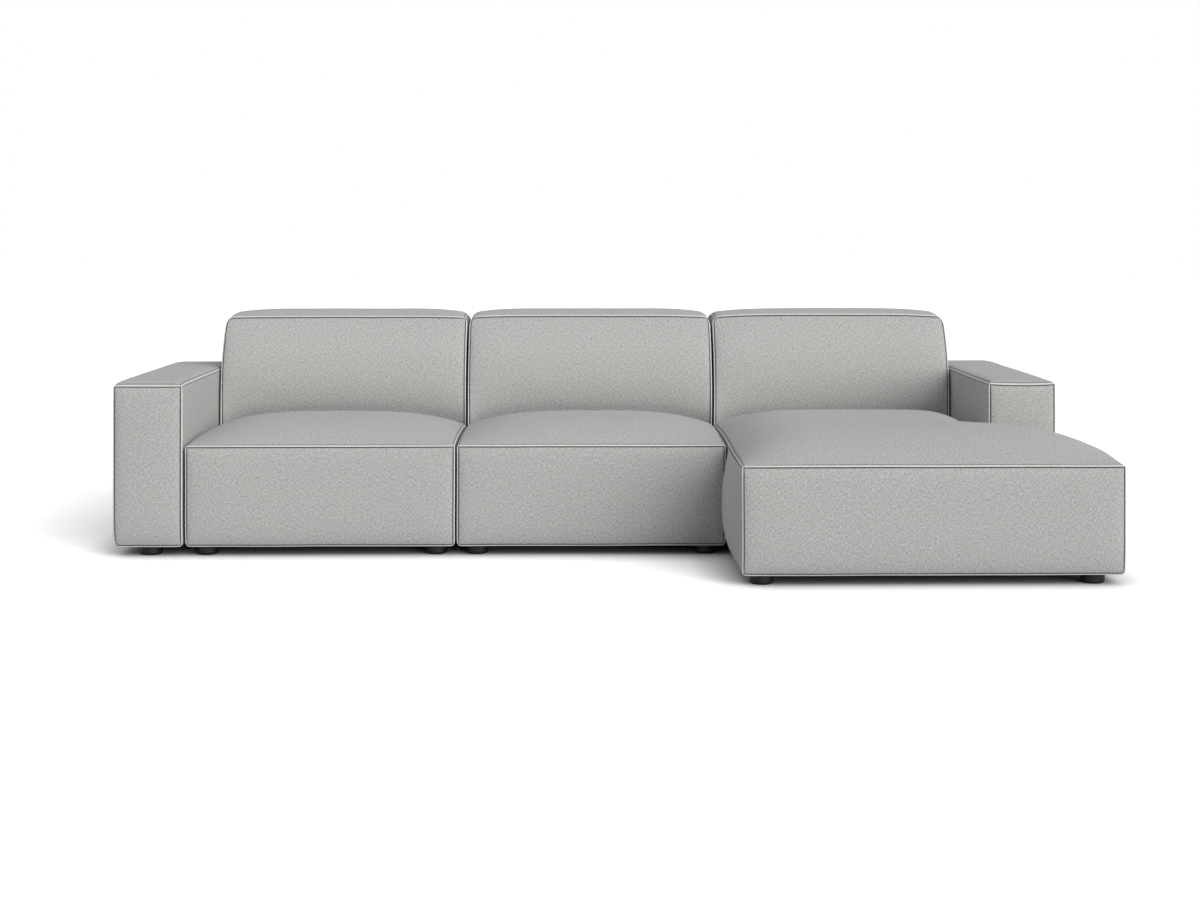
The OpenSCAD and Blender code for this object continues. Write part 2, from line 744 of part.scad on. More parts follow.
// Places of the feet in a seat and its back of width w, in front and behind
function front_feet(w) = [[foot_in, foot_back], [w - foot_in, foot_back]];
function rear_feet(w) = [[foot_in, module_d - foot_back], [w - foot_in, module_d - foot_back]];
function arm_feet(w) = [[w / 2, foot_back], [w / 2, module_d - foot_back]];
chaise_front_feet = [
    [foot_in, foot_back - chaise_reach], [chaise_front_w - chaise_foot_in, foot_back - chaise_reach],
    [foot_in, foot_back]
];

// Places along Y of the connectors between modules, and along X of the plates under a back
connector_y = [seat_d / 2, (back_y + module_d) / 2];
plate_in = 200;
// Distance that each plate of a connector reaches into its own module, and its start there
connector_reach = rail_mid + plate_lap;
connector_start = 6;

// Screws under the frames beside a module's side at x, which lies towards the sign inwards
function connector_screws(x, inwards) =
    [for (y = connector_y) for (s = screw_sides) [x + inwards * rail_mid, y + s]];

// Steel tongues under a module, with a bore for each pin. The module lies towards +X from x = 0
module tongues() {
    for (y = connector_y) difference() {
        union() {
            translate([connector_start, y - plate_w / 2, tongue_z])
                cube([connector_reach - connector_start, plate_w, hem_z - clearance - tongue_z]);
            translate([-module_gap - pin_in - pin_d, y - plate_w / 2, tongue_z])
                cube([module_gap + pin_in + pin_d + connector_reach, plate_w, plate_t]);
        }
        translate([-module_gap - pin_in, y, tongue_z - 1])
            cylinder(r = pin_d / 2 + pin_clearance, h = plate_t + 2);
        bores([for (s = screw_sides) [rail_mid, y + s]], screw_bore, tongue_z - 1, hem_z);
    }
}

// Steel plates with a pin each. The module lies towards +X from x = 0
module pins() {
    for (y = connector_y) difference() {
        union() {
            translate([connector_start, y - plate_w / 2, plate_z])
                cube([connector_reach - connector_start, plate_w, plate_t]);
            translate([pin_in, y, plate_z - pin_len]) cylinder(d = pin_d, h = pin_len + plate_t);
        }
        bores([for (s = screw_sides) [rail_mid, y + s]], screw_bore, plate_z - 1, hem_z);
    }
}

// Moves its children from a module's own frame to the sofa's
module at(x) {
    translate([x, seats_y, 0]) children();
}

// Turns its children round to lie towards -X
module turned_left() {
    mirror([1, 0, 0]) children();
}

// Plates, screws and springs of an armless seat of width w
function seat_plates(w) = [for (x = [plate_in, w - plate_in])
    [[x, seat_d - rail_mid], [x, back_y + back_frame_in + board / 2]]];
function seat_plate_screws(w) = [for (p = seat_plates(w)) each plate_screws(p[0], p[1], false)];
seat_springs = spread(frame_in + board, seat_w - frame_in - board, spring_pitch);
chaise_seat_springs = spread(frame_in + board, chaise_seat_w - frame_in - board, spring_pitch);
chaise_front_springs = spread(frame_in + board, chaise_front_w - frame_in - board, spring_pitch);
// Middle of the chaise's cross rail, and the distance from it of the clips on either side
cross_mid = notch_y - frame_in - cross_w / 2;
cross_clip = cross_w / 4;
// Plates that join the chaise's frame to the right arm's
arm_plates = [for (y = [seat_d / 3, seat_d - 120])
    [[chaise_seat_w - rail_mid, y], [arm_right_x + rail_mid, y]]];
arm_plate_screws = [for (p = arm_plates) each plate_screws(p[0], p[1], true)];

// All screws that enter the frames of each module
seat_side_screws = concat(connector_screws(0, 1), connector_screws(seat_w, -1));
seat_screw_places = concat(seat_plate_screws(seat_w), seat_side_screws);
chaise_screw_places = concat(
    seat_plate_screws(chaise_seat_w), connector_screws(0, 1), arm_plate_screws
);
arm_left_screw_places = connector_screws(arm_left_w, -1);

// Pieces that both armless seats share
module seat_frame_parts() {
    seat_block_frame(seat_w, seat_w, 0, false, front_feet(seat_w), seat_screw_places);
}
module seat_cloth_parts() {
    seat_block_cloth(seat_w, seat_w, 0, front_feet(seat_w), seat_screw_places);
    back_cloth(seat_w, rear_feet(seat_w), seat_screw_places);
}
module seat_plate_parts() {
    for (p = seat_plates(seat_w)) joining_plate(p[0], p[1], false);
}

// The middle seat
module seat_middle_cover() { color(fabric_colour) at(seat_middle_x) seat_cover(); }
module seat_middle_foam() { color(foam_colour) at(seat_middle_x) seat_block_foam(seat_w, seat_w, 0); }
module seat_middle_springs() {
    color(steel_colour) at(seat_middle_x) spring_row(seat_springs, rail_mid, seat_d - rail_mid);
}
module seat_middle_spring_clips() {
    color(steel_colour) at(seat_middle_x) clip_row(seat_springs, rail_mid, seat_d - rail_mid);
}
module seat_middle_frame() { color(wood_colour) at(seat_middle_x) seat_frame_parts(); }
module seat_middle_dust_cloth() { color(cloth_colour) at(seat_middle_x) seat_cloth_parts(); }
module seat_middle_feet() {
    color(foot_colour) at(seat_middle_x) feet(concat(front_feet(seat_w), rear_feet(seat_w)));
}
module seat_middle_foot_bolts() {
    color(steel_colour) at(seat_middle_x) foot_bolts(concat(front_feet(seat_w), rear_feet(seat_w)));
}
module seat_middle_screws() {
    color(steel_colour) at(seat_middle_x) {
        screws(seat_plate_screws(seat_w), plate_z);
        screws(seat_side_screws, tongue_z);
    }
}
module seat_middle_joining_plates() { color(steel_colour) at(seat_middle_x) seat_plate_parts(); }
module seat_middle_back_cover() { color(fabric_colour) at(seat_middle_x) back_padding(seat_w); }
module seat_middle_back_foam() { color(foam_colour) at(seat_middle_x) back_foam(seat_w); }
module seat_middle_back_frame() {
    color(wood_colour) at(seat_middle_x) back_frame(seat_w, rear_feet(seat_w), seat_screw_places);
}
module seat_middle_back_webbing() { color(strap_colour) at(seat_middle_x) back_webbing(seat_w); }
module seat_middle_connector_tongues() {
    color(steel_colour) {
        at(seat_middle_x) tongues();
        at(seat_middle_x + seat_w) turned_left() tongues();
    }
}

// The left seat
module seat_left_cover() { color(fabric_colour) at(seat_left_x) seat_cover(); }
module seat_left_foam() { color(foam_colour) at(seat_left_x) seat_block_foam(seat_w, seat_w, 0); }
module seat_left_springs() {
    color(steel_colour) at(seat_left_x) spring_row(seat_springs, rail_mid, seat_d - rail_mid);
}
module seat_left_spring_clips() {
    color(steel_colour) at(seat_left_x) clip_row(seat_springs, rail_mid, seat_d - rail_mid);
}
module seat_left_frame() { color(wood_colour) at(seat_left_x) seat_frame_parts(); }
module seat_left_dust_cloth() { color(cloth_colour) at(seat_left_x) seat_cloth_parts(); }
module seat_left_feet() {
    color(foot_colour) at(seat_left_x) feet(concat(front_feet(seat_w), rear_feet(seat_w)));
}
module seat_left_foot_bolts() {
    color(steel_colour) at(seat_left_x) foot_bolts(concat(front_feet(seat_w), rear_feet(seat_w)));
}
module seat_left_screws() {
    color(steel_colour) at(seat_left_x) {
        screws(seat_plate_screws(seat_w), plate_z);
        screws(connector_screws(0, 1), tongue_z);
        screws(connector_screws(seat_w, -1), plate_z);
    }
}
module seat_left_joining_plates() { color(steel_colour) at(seat_left_x) seat_plate_parts(); }
module seat_left_back_cover() { color(fabric_colour) at(seat_left_x) back_padding(seat_w); }
module seat_left_back_foam() { color(foam_colour) at(seat_left_x) back_foam(seat_w); }
module seat_left_back_frame() {
    color(wood_colour) at(seat_left_x) back_frame(seat_w, rear_feet(seat_w), seat_screw_places);
}
module seat_left_back_webbing() { color(strap_colour) at(seat_left_x) back_webbing(seat_w); }
module seat_left_connector_tongues() { color(steel_colour) at(seat_left_x) tongues(); }
module seat_left_connector_pins() {
    color(steel_colour) at(seat_left_x + seat_w) turned_left() pins();
}

// The chaise, which holds the right arm
module chaise_cover() { color(fabric_colour) at(chaise_x) chaise_padding(); }
module chaise_foam() {
    color(foam_colour) at(chaise_x) seat_block_foam(chaise_seat_w, chaise_front_w, -chaise_reach);
}
module chaise_springs() {
    color(steel_colour) at(chaise_x) {
        spring_row(chaise_seat_springs, cross_mid + cross_clip, seat_d - rail_mid);
        spring_row(chaise_front_springs, rail_mid - chaise_reach, cross_mid - cross_clip);
    }
}
module chaise_spring_clips() {
    color(steel_colour) at(chaise_x) {
        clip_row(chaise_seat_springs, cross_mid + cross_clip, seat_d - rail_mid);
        clip_row(chaise_front_springs, rail_mid - chaise_reach, cross_mid - cross_clip);
    }
}
module chaise_frame() {
    color(wood_colour) at(chaise_x)
        seat_block_frame(chaise_seat_w, chaise_front_w, -chaise_reach, true, chaise_front_feet,
            chaise_screw_places);
}
module chaise_dust_cloth() {
    color(cloth_colour) at(chaise_x) {
        seat_block_cloth(chaise_seat_w, chaise_front_w, -chaise_reach, chaise_front_feet,
            chaise_screw_places);
        back_cloth(chaise_seat_w, rear_feet(chaise_seat_w), chaise_screw_places);
    }
}
module chaise_feet() {
    color(foot_colour) {
        at(chaise_x) feet(concat(chaise_front_feet, rear_feet(chaise_seat_w)));
        at(chaise_x + arm_right_x) feet(arm_feet(arm_right_w));
    }
}
module chaise_foot_bolts() {
    color(steel_colour) {
        at(chaise_x) foot_bolts(concat(chaise_front_feet, rear_feet(chaise_seat_w)));
        at(chaise_x + arm_right_x) foot_bolts(arm_feet(arm_right_w));
    }
}
module chaise_screws() { color(steel_colour) at(chaise_x) screws(chaise_screw_places, plate_z); }
module chaise_joining_plates() {
    color(steel_colour) at(chaise_x) {
        for (p = seat_plates(chaise_seat_w)) joining_plate(p[0], p[1], false);
        for (p = arm_plates) joining_plate(p[0], p[1], true);
    }
}
module chaise_back_cover() { color(fabric_colour) at(chaise_x) back_padding(chaise_seat_w); }
module chaise_back_foam() { color(foam_colour) at(chaise_x) back_foam(chaise_seat_w); }
module chaise_back_frame() {
    color(wood_colour) at(chaise_x)
        back_frame(chaise_seat_w, rear_feet(chaise_seat_w), chaise_screw_places);
}
module chaise_back_webbing() { color(strap_colour) at(chaise_x) back_webbing(chaise_seat_w); }
module chaise_connector_pins() { color(steel_colour) at(chaise_x) pins(); }
module arm_right_cover() {
    color(fabric_colour) at(chaise_x + arm_right_x) arm_padding(arm_right_w, 1, seat_h);
}
module arm_right_foam() { color(foam_colour) at(chaise_x + arm_right_x) arm_foam(arm_right_w); }
module arm_right_frame() {
    color(wood_colour) at(chaise_x + arm_right_x)
        arm_frame(arm_right_w, arm_feet(arm_right_w),
            [for (p = arm_plate_screws) [p.x - arm_right_x, p.y]]);
}
module arm_right_dust_cloth() {
    color(cloth_colour) at(chaise_x + arm_right_x)
        arm_cloth(arm_right_w, arm_feet(arm_right_w),
            [for (p = arm_plate_screws) [p.x - arm_right_x, p.y]]);
}

// The left arm
module arm_left_cover() { color(fabric_colour) at(arm_left_x) arm_padding(arm_left_w, -1, hem_z); }
module arm_left_foam() { color(foam_colour) at(arm_left_x) arm_foam(arm_left_w); }
module arm_left_frame() {
    color(wood_colour) at(arm_left_x)
        arm_frame(arm_left_w, arm_feet(arm_left_w), arm_left_screw_places);
}
module arm_left_dust_cloth() {
    color(cloth_colour) at(arm_left_x)
        arm_cloth(arm_left_w, arm_feet(arm_left_w), arm_left_screw_places);
}
module arm_left_feet() { color(foot_colour) at(arm_left_x) feet(arm_feet(arm_left_w)); }
module arm_left_foot_bolts() { color(steel_colour) at(arm_left_x) foot_bolts(arm_feet(arm_left_w)); }
module arm_left_screws() { color(steel_colour) at(arm_left_x) screws(arm_left_screw_places, plate_z); }
module arm_left_connector_pins() {
    color(steel_colour) at(arm_left_x + arm_left_w) turned_left() pins();
}

seat_middle_cover();
seat_middle_foam();
seat_middle_springs();
seat_middle_spring_clips();
seat_middle_frame();
seat_middle_dust_cloth();
seat_middle_feet();
seat_middle_foot_bolts();
seat_middle_screws();
seat_middle_joining_plates();
seat_middle_back_cover();
seat_middle_back_foam();
seat_middle_back_frame();
seat_middle_back_webbing();
seat_middle_connector_tongues();
seat_left_cover();
seat_left_foam();
seat_left_springs();
seat_left_spring_clips();
seat_left_frame();
seat_left_dust_cloth();
seat_left_feet();
seat_left_foot_bolts();
seat_left_screws();
seat_left_joining_plates();
seat_left_back_cover();
seat_left_back_foam();
seat_left_back_frame();
seat_left_back_webbing();
seat_left_connector_tongues();
seat_left_connector_pins();
chaise_cover();
chaise_foam();
chaise_springs();
chaise_spring_clips();
chaise_frame();
chaise_dust_cloth();
chaise_feet();
chaise_foot_bolts();
chaise_screws();
chaise_joining_plates();
chaise_back_cover();
chaise_back_foam();
chaise_back_frame();
chaise_back_webbing();
chaise_connector_pins();
arm_right_cover();
arm_right_foam();
arm_right_frame();
arm_right_dust_cloth();
arm_left_cover();
arm_left_foam();
arm_left_frame();
arm_left_dust_cloth();
arm_left_feet();
arm_left_foot_bolts();
arm_left_screws();
arm_left_connector_pins();
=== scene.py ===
"""Upholstery, finishes, light and camera for a modular corner sofa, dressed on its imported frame.

X runs along the seats from left to right, Y from front to back and Z up from the floor, in metres.
"""

import math

import bmesh
import bpy
import numpy as np
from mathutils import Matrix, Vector, noise


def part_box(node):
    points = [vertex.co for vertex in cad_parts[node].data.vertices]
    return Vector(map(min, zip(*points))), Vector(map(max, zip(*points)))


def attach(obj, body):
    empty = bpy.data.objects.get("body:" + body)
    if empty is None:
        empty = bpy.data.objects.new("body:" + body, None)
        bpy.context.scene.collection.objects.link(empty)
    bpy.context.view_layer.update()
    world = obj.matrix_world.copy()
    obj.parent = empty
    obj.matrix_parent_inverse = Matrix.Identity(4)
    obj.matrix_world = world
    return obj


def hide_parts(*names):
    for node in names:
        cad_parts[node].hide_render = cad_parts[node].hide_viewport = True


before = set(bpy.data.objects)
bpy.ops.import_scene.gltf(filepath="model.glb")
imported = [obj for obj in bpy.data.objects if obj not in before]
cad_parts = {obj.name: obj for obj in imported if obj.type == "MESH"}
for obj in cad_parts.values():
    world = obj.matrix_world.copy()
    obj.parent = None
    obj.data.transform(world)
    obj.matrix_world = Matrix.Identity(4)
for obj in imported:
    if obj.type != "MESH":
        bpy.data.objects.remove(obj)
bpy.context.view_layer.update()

mm = 0.001

# How far the faces of the solids stand out past the seams that bound them
FRONT_SWELL = 8 * mm
CHAISE_FRONT_SWELL = 10 * mm
CHAISE_LEFT_SWELL = 38 * mm
CHAISE_RIGHT_SWELL = 23 * mm
ARM_SWELL = 3 * mm
REAR_SWELL = 6 * mm

# Seats: height of the seams, then the crown over them, which peaks at a share of the depth and falls
# to a share of its height at the rear. The side seams lift in their middle
SEAT_H = 378 * mm
SEAT_CROWN = 65 * mm
SEAT_CROWN_PEAK = 0.58
SEAT_CROWN_REAR = 0.77
SEAT_CROWN_REACH = 440 * mm
SEAT_EDGE_LIFT = 10 * mm

# Chaise: its crown rises faster from the next seat and from the arm's notch than from its open sides,
# and falls to a share of its height at the rear. The open right seam lifts in its middle
CHAISE_CROWN = 92 * mm
CHAISE_CROWN_REAR = 0.48
CHAISE_NEAR_REACH = 320 * mm
CHAISE_NOTCH_REACH = 250 * mm
CHAISE_OPEN_REACH = 550 * mm
CHAISE_EDGE_LIFT = 15 * mm

# Arms: a low crown that falls by a share towards the rear, lift of the side seams, sag of the right
# arm's front seam between its corners, and the foot of the outer face, which is drawn in
ARM_H = 584 * mm
ARM_CROWN = 12 * mm
ARM_CROWN_REACH = 45 * mm
ARM_CROWN_FALL = 0.4
ARM_EDGE_LIFT = 3.2 * mm
ARM_SAG = 4 * mm
ARM_FOOT_IN = 6 * mm
ARM_FOOT_REACH = 50 * mm

# Backs: crown, lift of the side seams, swell of the front over the seat, and lean of the front, which
# dies out towards the rear. An edge of the top as deep as BACK_EDGE leans as a whole, or not at all
BACK_H = 779 * mm
BACK_CROWN = 26 * mm
BACK_EDGE_LIFT = 9 * mm
BACK_SWELL = 20 * mm
BACK_LEAN = 125 * mm
BACK_EDGE = 40 * mm

# Foot of a back's front, which curls in where it meets the seat
CURL_REACH = 140 * mm
CURL_UNDER = 15 * mm
CURL_POWER = 2.2

# Foot of a front panel, which is pulled in under the block
TUCK = 10 * mm
TUCK_REACH = 110 * mm
FOOT_POWER = 2

# Radii of the corners of the panels
CORNER_R = 9 * mm
LOW_CORNER_R = 16 * mm
BACK_CORNER_R = 30 * mm

# How sharply crowns, swells and the lean set in, and how late in a block's height its crown does
CROWN_POWER = 3.3
SWELL_POWER = 2.5
LEAN_POWER = 3
SEAT_UP_POWER = 2
BACK_UP_POWER = 5
ARM_UP_POWER = 4

# How far the middle of a panel stands out from its seams: partly in a short roll, then gently
DOME = 15 * mm
SIDE_DOME = 7 * mm
ROLL_SHARE = 0.55
ROLL_REACH = 45 * mm
ROLL_POWER = 3
DOME_REACH = 150 * mm
DOME_POWER = 2

# Depth behind a face over which its swell dies out: of arms and backs, of seats, of the chaise's sides
FACE_DEPTH = 60 * mm
SEAT_FACE_DEPTH = 80 * mm
SIDE_FACE_DEPTH = 120 * mm

# Insets of the covers' sides, which widen the gaps between the blocks
GAP_IN = 0.8 * mm
ARM_GAP_IN = 3.2 * mm
BACK_GAP_IN = 1.6 * mm

# The rolled seam along every panel edge: a bead of folded cloth with a pulled-in line beside it
WELT_R = 2.3 * mm
WELT_PROUD = 1.0 * mm
GROOVE = 0.8 * mm
SHOULDER = 6 * mm
SHOULDER_POWER = 2.4

# Most of the painted highlight and painted shade of a seam that a level panel shows
LEVEL_SEAM_PAINT = 0.6

# The underside, which is stapled flat inside its seams and a little higher than they are
STAPLED_IN = 13 * mm
STAPLED_LIFT = 2.5 * mm

# Step of a panel's grid between its seams, the distance at which its points are welded, and one so
# small that it counts as none
PANEL_STEP = 18 * mm
WELD = 0.02 * mm
TINY = 1e-7

# Slow unevenness of a hand-fitted cover, small enough for the gaps between the blocks. Each of its
# three directions has its own place in the noise
WAVER = 0.9 * mm
WAVER_LEN = 210 * mm
WAVER_PLACES = [Vector((0, 0, 0)), Vector((9.3, -1.5, -7.9)), Vector((5.3, 11.7, -3.1))]

# Small gathers beside the seams
PUCKER = 0.5 * mm
PUCKER_LEN = 38 * mm
PUCKER_START = 9 * mm
PUCKER_REACH = 55 * mm


# Places that the frame gives

def cover_place(node):
    """Lowest and highest corner of a cover's solid."""
    low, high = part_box(node)
    return np.array(low), np.array(high)


seat_low, seat_high = cover_place("seat_left_cover")
back_low, back_high = cover_place("seat_left_back_cover")

# Height of the hems, and Y of the front seams, of the backs' front seams and of the rear seams
hem_z = seat_low[2]
seats_y = seat_low[1] + FRONT_SWELL
back_y = back_low[1]
rear_y = back_high[1] - REAR_SWELL

# Depth of a seat and of a whole module
seat_d = seat_high[1] - seats_y
module_d = rear_y - seats_y

# Height from which the backs lean, and of the top of the seats' crowns
lean_z = (hem_z + BACK_H) / 2
crest_z = SEAT_H + SEAT_EDGE_LIFT + SEAT_CROWN


# Shapes of the padding

def near(d, reach):
    """1 at no distance, falling evenly to 0 at the distance reach and past it."""
    return np.clip(1 - d / reach, 0, 1)


def upper(z, low, high, power):
    """0 at the height low, and 1 at the height high and over it."""
    return np.clip((z - low) / (high - low), 0, 1) ** power


def along(p, a, b):
    """-1 at a and before it, 0 halfway, and 1 at b and past it."""
    return np.clip(2 * (p - a) / (b - a) - 1, -1, 1)


def rise(d, reach):
    """Share of its full height that a crown has reached at a distance in from its edge."""
    return 1 - near(d, reach) ** CROWN_POWER


def swell(p, a, b):
    """Share of its full size that a swell has at p, with none at the ends a and b."""
    return 1 - np.abs(along(p, a, b)) ** SWELL_POWER


def hump(p, a, b):
    """Share of its full size that a swell has at p, which starts and ends level at a and b."""
    return (1 - along(p, a, b) ** 2) ** 2


def dome(p, a, b):
    """Share of its full size that a padded panel has at p. It rolls out steeply from its seams a and b."""
    d = np.minimum(p - a, b - p)
    roll = 1 - near(d, ROLL_REACH) ** ROLL_POWER
    rest = 1 - near(d, DOME_REACH) ** DOME_POWER
    return ROLL_SHARE * roll + (1 - ROLL_SHARE) * rest


def belly(z, low, high):
    """Share of its full size that a swell has at z. It starts gently at low and ends firmly at high."""
    t = upper(z, low, high, 1)
    # t ** 2 * (1 - t) is 4 / 27 at the most
    return 27 / 4 * t ** 2 * (1 - t)


def tuck(z):
    """Pull inwards at the height z of a front panel."""
    return TUCK * near(z - hem_z, TUCK_REACH) ** FOOT_POWER


def rounded(x, z, w, low, high, low_r, high_r):
    """x and z with the corners of a panel of width w, from low to high, drawn in to round ones."""
    for r, d, inwards in ((low_r, z - low, 1), (high_r, high - z, -1)):
        u = near(np.minimum(x, w - x), r)
        v = near(d, r)
        move_x = r * u * (1 - np.sqrt(1 - v ** 2 / 2))
        move_z = r * v * (1 - np.sqrt(1 - u ** 2 / 2))
        x = np.where(2 * x < w, x + move_x, x - move_x)
        z = z + inwards * move_z
    return x, z


# Panels and their seams

def seam_rows():
    """Distances in from a panel's edge, heights under the block's outer face, and shares of seam.

    The share of seam is 1 on top of the bead, -1 at the bottom of the groove and 0 on the panel.
    It sets the painted highlight on the bead and the painted shade in the groove.
    """
    # Over the bead, from the edge that it shares with the next panel down to its foot
    angles = np.radians([45, 27, 9, -9, -27, -45, -60, -75])
    across = WELT_R * (1 - np.sin(angles))
    height = WELT_R * (np.cos(angles) - 1)
    # Painted highlight over the top of the bead (over 0) and painted shade at its foot (under 0)
    bead = [0.9, 1, 1, 1, 0.9, 0.4, -0.3, -0.9]
    # Out of the groove and over the shoulder to the panel
    shares = np.array([0.0, 0.15, 0.3, 0.45, 0.65, 1.0])
    bottom = height[-1] - GROOVE
    shoulder = -WELT_PROUD + (bottom + WELT_PROUD) * (1 - shares) ** SHOULDER_POWER
    # Painted shade in the groove, dying out over the shoulder
    groove = [-1, -1, -1, -0.7, -0.25, 0]
    return (
        np.append(across, across[-1] + GROOVE / 2 + SHOULDER * shares),
        np.append(height, shoulder),
        np.append(bead, groove),
    )


ROW_IN, ROW_UP, ROW_SEAM = seam_rows()
# The edge that two panels share lies on the bead, this far in from the corner of their outer faces
EDGE_IN = ROW_IN[0]


def lines(a, b, seam_a=True, seam_b=True):
    """Grid lines of a panel from a to b, close together across the seams at its ends."""
    start = a + ROW_IN if seam_a else np.array([a])
    end = (b - ROW_IN if seam_b else np.array([b]))[::-1]
    count = max(1, round((end[0] - start[-1]) / PANEL_STEP))
    between = np.linspace(start[-1], end[0], count + 1)[1:-1]
    return np.concatenate([start, between, end])


def across_seams(distances, row):
    """What row says at these distances from a panel's edges. The nearest edge counts most."""
    top = 0
    bottom = 0
    for d in distances:
        weight = 1 / np.maximum(d - EDGE_IN, TINY) ** 2
        top = top + weight * np.interp(d, ROW_IN, row)
        bottom = bottom + weight
    return top / bottom


def puckers(co, distances):
    """Small gathers that run in from the seams and die out in the panel."""
    nearest = np.minimum.reduce(np.broadcast_arrays(*distances))
    fade = near(nearest, PUCKER_REACH) ** 2 * upper(nearest, 0, PUCKER_START, 1)
    out = np.zeros(nearest.shape)
    for at in np.argwhere(fade > 0):
        at = tuple(at)
        out[at] = fade[at] * noise.noise(Vector(co[at]) / PUCKER_LEN)
    return PUCKER * out


class Cover:
    """The cloth of one block, as panels that share their edges."""

    def __init__(self):
        self.points = []
        self.places = []
        self.seams = []
        self.quads = []
        self.count = 0

    def panel(self, axis, side, a, b, level, distances, keep=None, ends=None):
        """Adds a panel that faces along axis towards side, over the grid lines a by b.

        level is its outer face, on which the tops of its beads lie, distances those to its seams,
        and keep the quads that exist. ends is an edge, by its row and its place, that follows the
        panel's own height into an inner corner.
        """
        ga, gb = np.meshgrid(a, b, indexing="ij")
        first, second = [k for k in range(3) if k != axis]
        spots = [d(ga, gb) for d in distances]
        co = np.empty(ga.shape + (3,))
        co[..., first] = ga
        co[..., second] = gb
        co[..., axis] = level
        height = across_seams(spots, ROW_UP)
        if axis == 2 and side < 0:
            inside = np.minimum.reduce(np.broadcast_arrays(*spots)) > STAPLED_IN
            height = np.where(inside, -STAPLED_LIFT, height)
        else:
            height = height + puckers(co, spots)
        co[..., axis] = level + side * height
        if ends is not None:
            row, corner = ends
            co[row, :, first] = corner + height[row]
        index = self.count + np.arange(ga.size).reshape(ga.shape)
        quads = np.stack([index[:-1, :-1], index[1:, :-1], index[1:, 1:], index[:-1, 1:]], axis=-1)
        if keep is not None:
            quads = quads[keep]
        quads = quads.reshape(-1, 4)
        # Turned so that the panel faces outwards
        if (side > 0) == (axis == 1):
            quads = quads[:, ::-1]
        # Painted highlight on the beads and painted shade in the grooves, held lower on level panels
        seam = across_seams(spots, ROW_SEAM)
        if axis == 2:
            seam = np.clip(seam, -LEVEL_SEAM_PAINT, LEVEL_SEAM_PAINT)
        self.points.append(co.reshape(-1, 3))
        self.places.append(np.stack([ga, gb], axis=-1).reshape(-1, 2))
        self.seams.append(seam.reshape(-1))
        self.quads.append(quads)
        self.count += ga.size

    def piece(self, name, shape, place, material):
        """Gives the panels their padded shape, welds them and makes the piece."""
        co = shape(np.concatenate(self.points))
        for point in co:
            at = Vector(point + place) / WAVER_LEN
            point += WAVER * np.array([noise.noise(at + shift) for shift in WAVER_PLACES])
        co += place
        quads = np.concatenate(self.quads)
        uv = np.concatenate(self.places)[quads.reshape(-1)]
        mesh = bpy.data.meshes.new(name)
        mesh.from_pydata(co.tolist(), [], quads.tolist())
        layer = mesh.uv_layers.new(name="cloth_metres")
        layer.data.foreach_set("uv", uv.reshape(-1))
        # Carries the painted highlight and painted shade of the seams to the cloth's material
        seam = mesh.attributes.new("seam", "FLOAT", "POINT")
        seam.data.foreach_set("value", np.concatenate(self.seams))
        made = bmesh.new()
        made.from_mesh(mesh)
        bmesh.ops.remove_doubles(made, verts=made.verts, dist=WELD)
        made.to_mesh(mesh)
        made.free()
        mesh.polygons.foreach_set("use_smooth", [True] * len(mesh.polygons))
        mesh.materials.append(material)
        obj = bpy.data.objects.new(name, mesh)
        bpy.context.scene.collection.objects.link(obj)
        return obj


def padded_block(size, low, notch=None):
    """Panels of a block from the corner low, with rolled seams on all its edges.

    notch is the place of the inner corner of an L-shaped block.
    """
    x0, y0, z0 = low
    x1, y1, z1 = np.add(low, size)
    nx, ny = notch or (x1, y1)
    xs = lines(x0, nx)
    ys = lines(y0, ny)
    zs = lines(z0, z1)
    ni = len(xs) - 1
    nj = len(ys) - 1
    flat = [lambda x, y: x - x0, lambda x, y: x1 - x, lambda x, y: y - y0, lambda x, y: y1 - y]
    if notch:
        xs = np.concatenate([xs, lines(nx, x1, seam_a=False)[1:]])
        ys = np.concatenate([ys, lines(ny, y1, seam_a=False)[1:]])
        flat.append(lambda x, y: np.hypot(np.maximum(0, nx - x), np.maximum(0, ny - y)))
    keep = np.ones((len(xs) - 1, len(ys) - 1), bool)
    keep[ni:, nj:] = False

    def wall(a, b, seam_a=True):
        """Distances on an upright panel from a to b to its seams."""
        sides = [lambda s, z: b - s, lambda s, z: z - z0, lambda s, z: z1 - z]
        return sides + ([lambda s, z: s - a] if seam_a else [])

    cover = Cover()
    cover.panel(2, 1, xs, ys, z1, flat, keep)
    cover.panel(2, -1, xs, ys, z0, flat, keep)
    cover.panel(1, -1, xs, zs, y0, wall(x0, x1))
    cover.panel(0, -1, ys, zs, x0, wall(y0, y1))
    cover.panel(0, 1, ys[: nj + 1], zs, x1, wall(y0, ny))
    cover.panel(1, 1, xs[: ni + 1], zs, y1, wall(x0, nx))
    if notch:
        cover.panel(1, 1, xs[ni:], zs, ny, wall(nx, x1, seam_a=False), ends=(0, nx))
        cover.panel(0, 1, ys[nj:], zs, nx, wall(ny, y1, seam_a=False), ends=(0, ny))
    return cover


# Materials

def linear(code):
    """An sRGB hex colour as a linear one, with full alpha."""
    parts = [int(code[i : i + 2], 16) / 255 for i in (1, 3, 5)]
    return [c / 12.92 if c <= 0.04045 else ((c + 0.055) / 1.055) ** 2.4 for c in parts] + [1.0]


